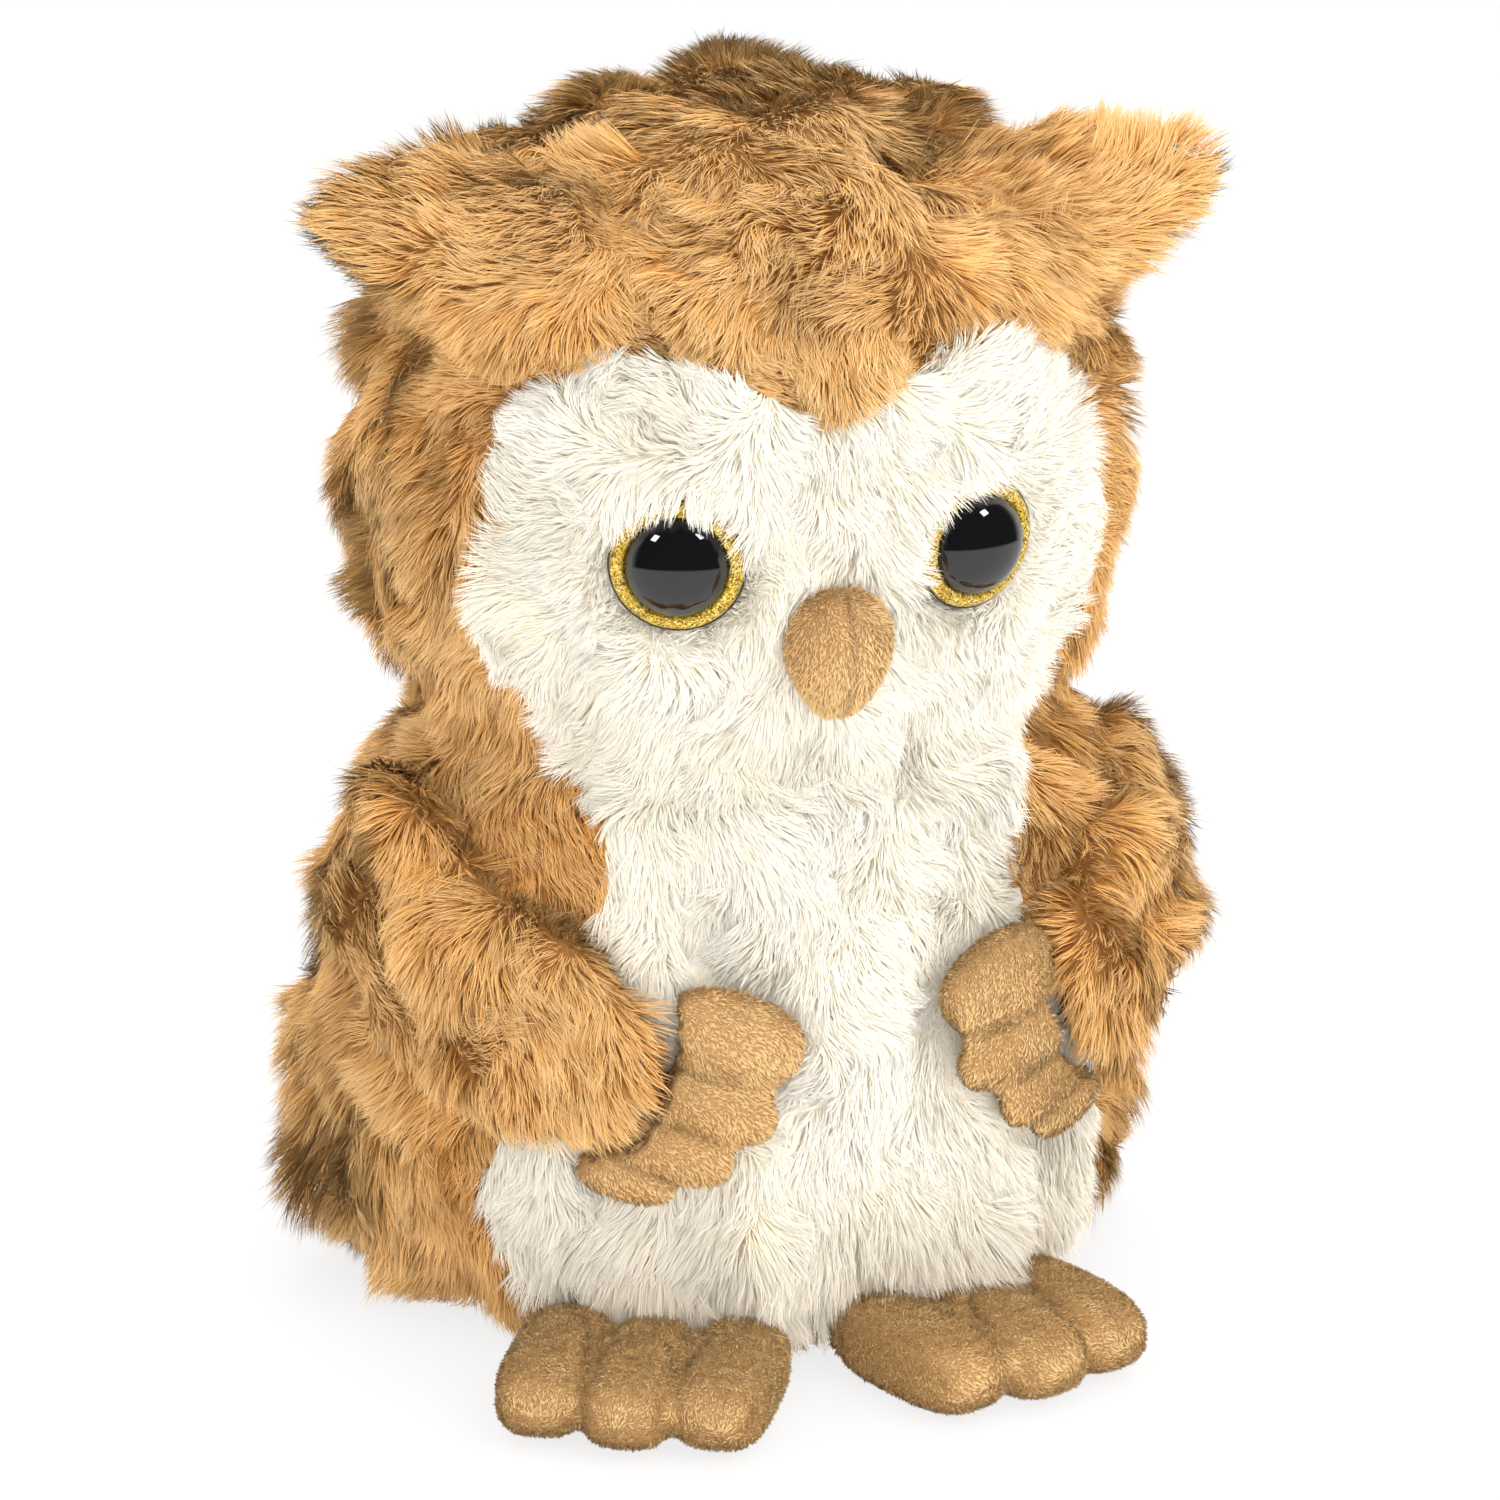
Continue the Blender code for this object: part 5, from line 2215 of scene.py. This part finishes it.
@dataclass
class Studio:
    """The camera at the photograph's angle, soft lamps, and a white floor that keeps the shadow."""

    azimuth: float = radians(-16)
    elevation: float = radians(17)
    distance: float = 1.2
    target: tuple[float, float, float] = (0, 0, 0.103)
    view_width: float = 0.279
    shift: float = 12 / 1500
    lamps: tuple[Softbox, ...] = (
        Softbox("key_softbox", (0.65, -0.80, 0.85), 1.1, 4.8),
        Softbox("fill_softbox", (-0.80, -0.75, 0.60), 1.1, 1.6),
        Softbox("top_softbox", (0.1, 0.45, 1.15), 1.1, 8.5),
        Softbox("front_softbox", (-0.10, -0.95, 0.62), 1.1, 4.4),
        Softbox("low_softbox", (0.05, -1.15, 0.08), 1.0, 5.6),
        Softbox("left_glint", (-0.686, -0.196, 0.765), 0.20, 2.2, mirrored=True),
        Softbox("right_glint", (0.448, -0.433, 0.832), 0.20, 2.2, mirrored=True),
    )

    def build(self) -> None:
        """Sets up the camera, the lamps, the floor and the world."""
        scene = bpy.context.scene
        scene.view_settings.view_transform = "Standard"
        back = Vector(
            (
                sin(self.azimuth) * cos(self.elevation),
                -cos(self.azimuth) * cos(self.elevation),
                sin(self.elevation),
            )
        )
        data = bpy.data.cameras.new("camera")
        data.sensor_width = 36
        data.lens = 36 * self.distance / self.view_width
        data.shift_x = self.shift
        camera = bpy.data.objects.new("camera", data)
        camera.location = Vector(self.target) + back * self.distance
        camera.rotation_mode = "QUATERNION"
        camera.rotation_quaternion = (-back).to_track_quat("-Z", "Y")
        scene.collection.objects.link(camera)
        scene.camera = camera
        for lamp in self.lamps:
            self.hang(lamp)
        self.lay_floor()
        self.paint_world()

    def hang(self, lamp: Softbox) -> None:
        """Hangs one softbox, turned to the owl.

        Args:
            lamp: the softbox.
        """
        data = bpy.data.lights.new(lamp.name, "AREA")
        data.size = lamp.size
        data.energy = lamp.watts
        thing = bpy.data.objects.new(lamp.name, data)
        thing.location = lamp.place
        thing.rotation_mode = "QUATERNION"
        way = Vector(self.target) - thing.location
        thing.rotation_quaternion = way.to_track_quat("-Z", "Y")
        thing.visible_glossy = lamp.mirrored
        thing.visible_diffuse = not lamp.mirrored
        bpy.context.scene.collection.objects.link(thing)

    def lay_floor(self) -> None:
        """A wide white floor, seen as white and darker only in the owl's shadow."""
        bm = bmesh.new()
        bmesh.ops.create_grid(bm, x_segments=1, y_segments=1, size=4)
        mesh = bpy.data.meshes.new("studio_floor")
        bm.to_mesh(mesh)
        bm.free()
        made = bpy.data.materials.new("studio_white")
        made.use_nodes = True
        nodes, links = made.node_tree.nodes, made.node_tree.links
        shader = nodes["Principled BSDF"]
        shader.inputs["Base Color"].default_value = (0.95, 0.95, 0.95, 1)
        shader.inputs["Roughness"].default_value = 0.9
        glow = nodes.new("ShaderNodeEmission")
        path = nodes.new("ShaderNodeLightPath")
        either = nodes.new("ShaderNodeMath")
        either.operation = "MAXIMUM"
        links.new(path.outputs["Is Camera Ray"], either.inputs[0])
        links.new(path.outputs["Is Glossy Ray"], either.inputs[1])
        any_seen = nodes.new("ShaderNodeMath")
        any_seen.operation = "MAXIMUM"
        links.new(either.outputs["Value"], any_seen.inputs[0])
        links.new(path.outputs["Is Transmission Ray"], any_seen.inputs[1])
        share = nodes.new("ShaderNodeMath")
        share.operation = "MULTIPLY"
        share.inputs[1].default_value = 0.80
        links.new(any_seen.outputs["Value"], share.inputs[0])
        mixed = nodes.new("ShaderNodeMixShader")
        links.new(share.outputs["Value"], mixed.inputs["Fac"])
        links.new(shader.outputs["BSDF"], mixed.inputs[1])
        links.new(glow.outputs["Emission"], mixed.inputs[2])
        links.new(mixed.outputs["Shader"], nodes["Material Output"].inputs["Surface"])
        floor = shown("studio_floor", mesh, made)
        floor.visible_glossy = False

    @staticmethod
    def ranged(
        nodes: bpy.types.Nodes,
        links: bpy.types.NodeLinks,
        value: Socket,
        start: float,
        end: float,
    ) -> Socket:
        """A value brought from start..end to 0.03..1, smoothly.

        Args:
            nodes: the world's nodes.
            links: its links.
            value: the value.
            start: where it starts.
            end: where it ends.

        Returns:
            The socket of its result.
        """
        node = nodes.new("ShaderNodeMapRange")
        node.interpolation_type = "SMOOTHSTEP"
        node.inputs["From Min"].default_value = start
        node.inputs["From Max"].default_value = end
        node.inputs["To Min"].default_value = 0.03
        node.inputs["To Max"].default_value = 1.0
        links.new(value, node.inputs["Value"])
        return node.outputs["Result"]

    def paint_world(self) -> None:
        """Paints a soft world that mirrors see white below and behind, and dim in front."""
        world = bpy.data.worlds.new("studio")
        world.use_nodes = True
        nodes, links = world.node_tree.nodes, world.node_tree.links
        path = nodes.new("ShaderNodeLightPath")
        coordinates = nodes.new("ShaderNodeTexCoord")
        split = nodes.new("ShaderNodeSeparateXYZ")
        links.new(coordinates.outputs["Generated"], split.inputs["Vector"])
        low = self.ranged(nodes, links, split.outputs["Z"], -0.19, -0.26)
        behind = self.ranged(nodes, links, split.outputs["Y"], 0.1, 0.5)
        backdrop = nodes.new("ShaderNodeMath")
        backdrop.operation = "MAXIMUM"
        links.new(low, backdrop.inputs[0])
        links.new(behind, backdrop.inputs[1])
        lit = nodes.new("ShaderNodeMix")
        lit.inputs["A"].default_value = 0.86
        links.new(path.outputs["Is Glossy Ray"], lit.inputs["Factor"])
        links.new(backdrop.outputs["Value"], lit.inputs["B"])
        seen = nodes.new("ShaderNodeMath")
        seen.operation = "MAXIMUM"
        links.new(path.outputs["Is Camera Ray"], seen.inputs[0])
        links.new(path.outputs["Is Transmission Ray"], seen.inputs[1])
        strength = nodes.new("ShaderNodeMix")
        strength.inputs["B"].default_value = 1.0
        links.new(seen.outputs["Value"], strength.inputs["Factor"])
        links.new(lit.outputs["Result"], strength.inputs["A"])
        ground = nodes["Background"]
        ground.inputs["Color"].default_value = (1, 1, 1, 1)
        links.new(strength.outputs["Result"], ground.inputs["Strength"])
        bpy.context.scene.world = world


def main() -> None:
    """Builds the owl's pieces in order, then the studio."""
    logging.basicConfig(level=logging.INFO, format="%(name)s: %(message)s")
    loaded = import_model()
    frame = Frame(loaded["nodes"])
    wardrobe = Wardrobe()
    eyes = tuple(Eye(frame, side) for side in Side)
    Body(frame, wardrobe, eyes).build()
    Limbs(frame, wardrobe).build()
    Eyes(frame, wardrobe, eyes).build()
    Inside(frame, wardrobe).build()
    Studio().build()


if __name__ == "__main__":
    main()
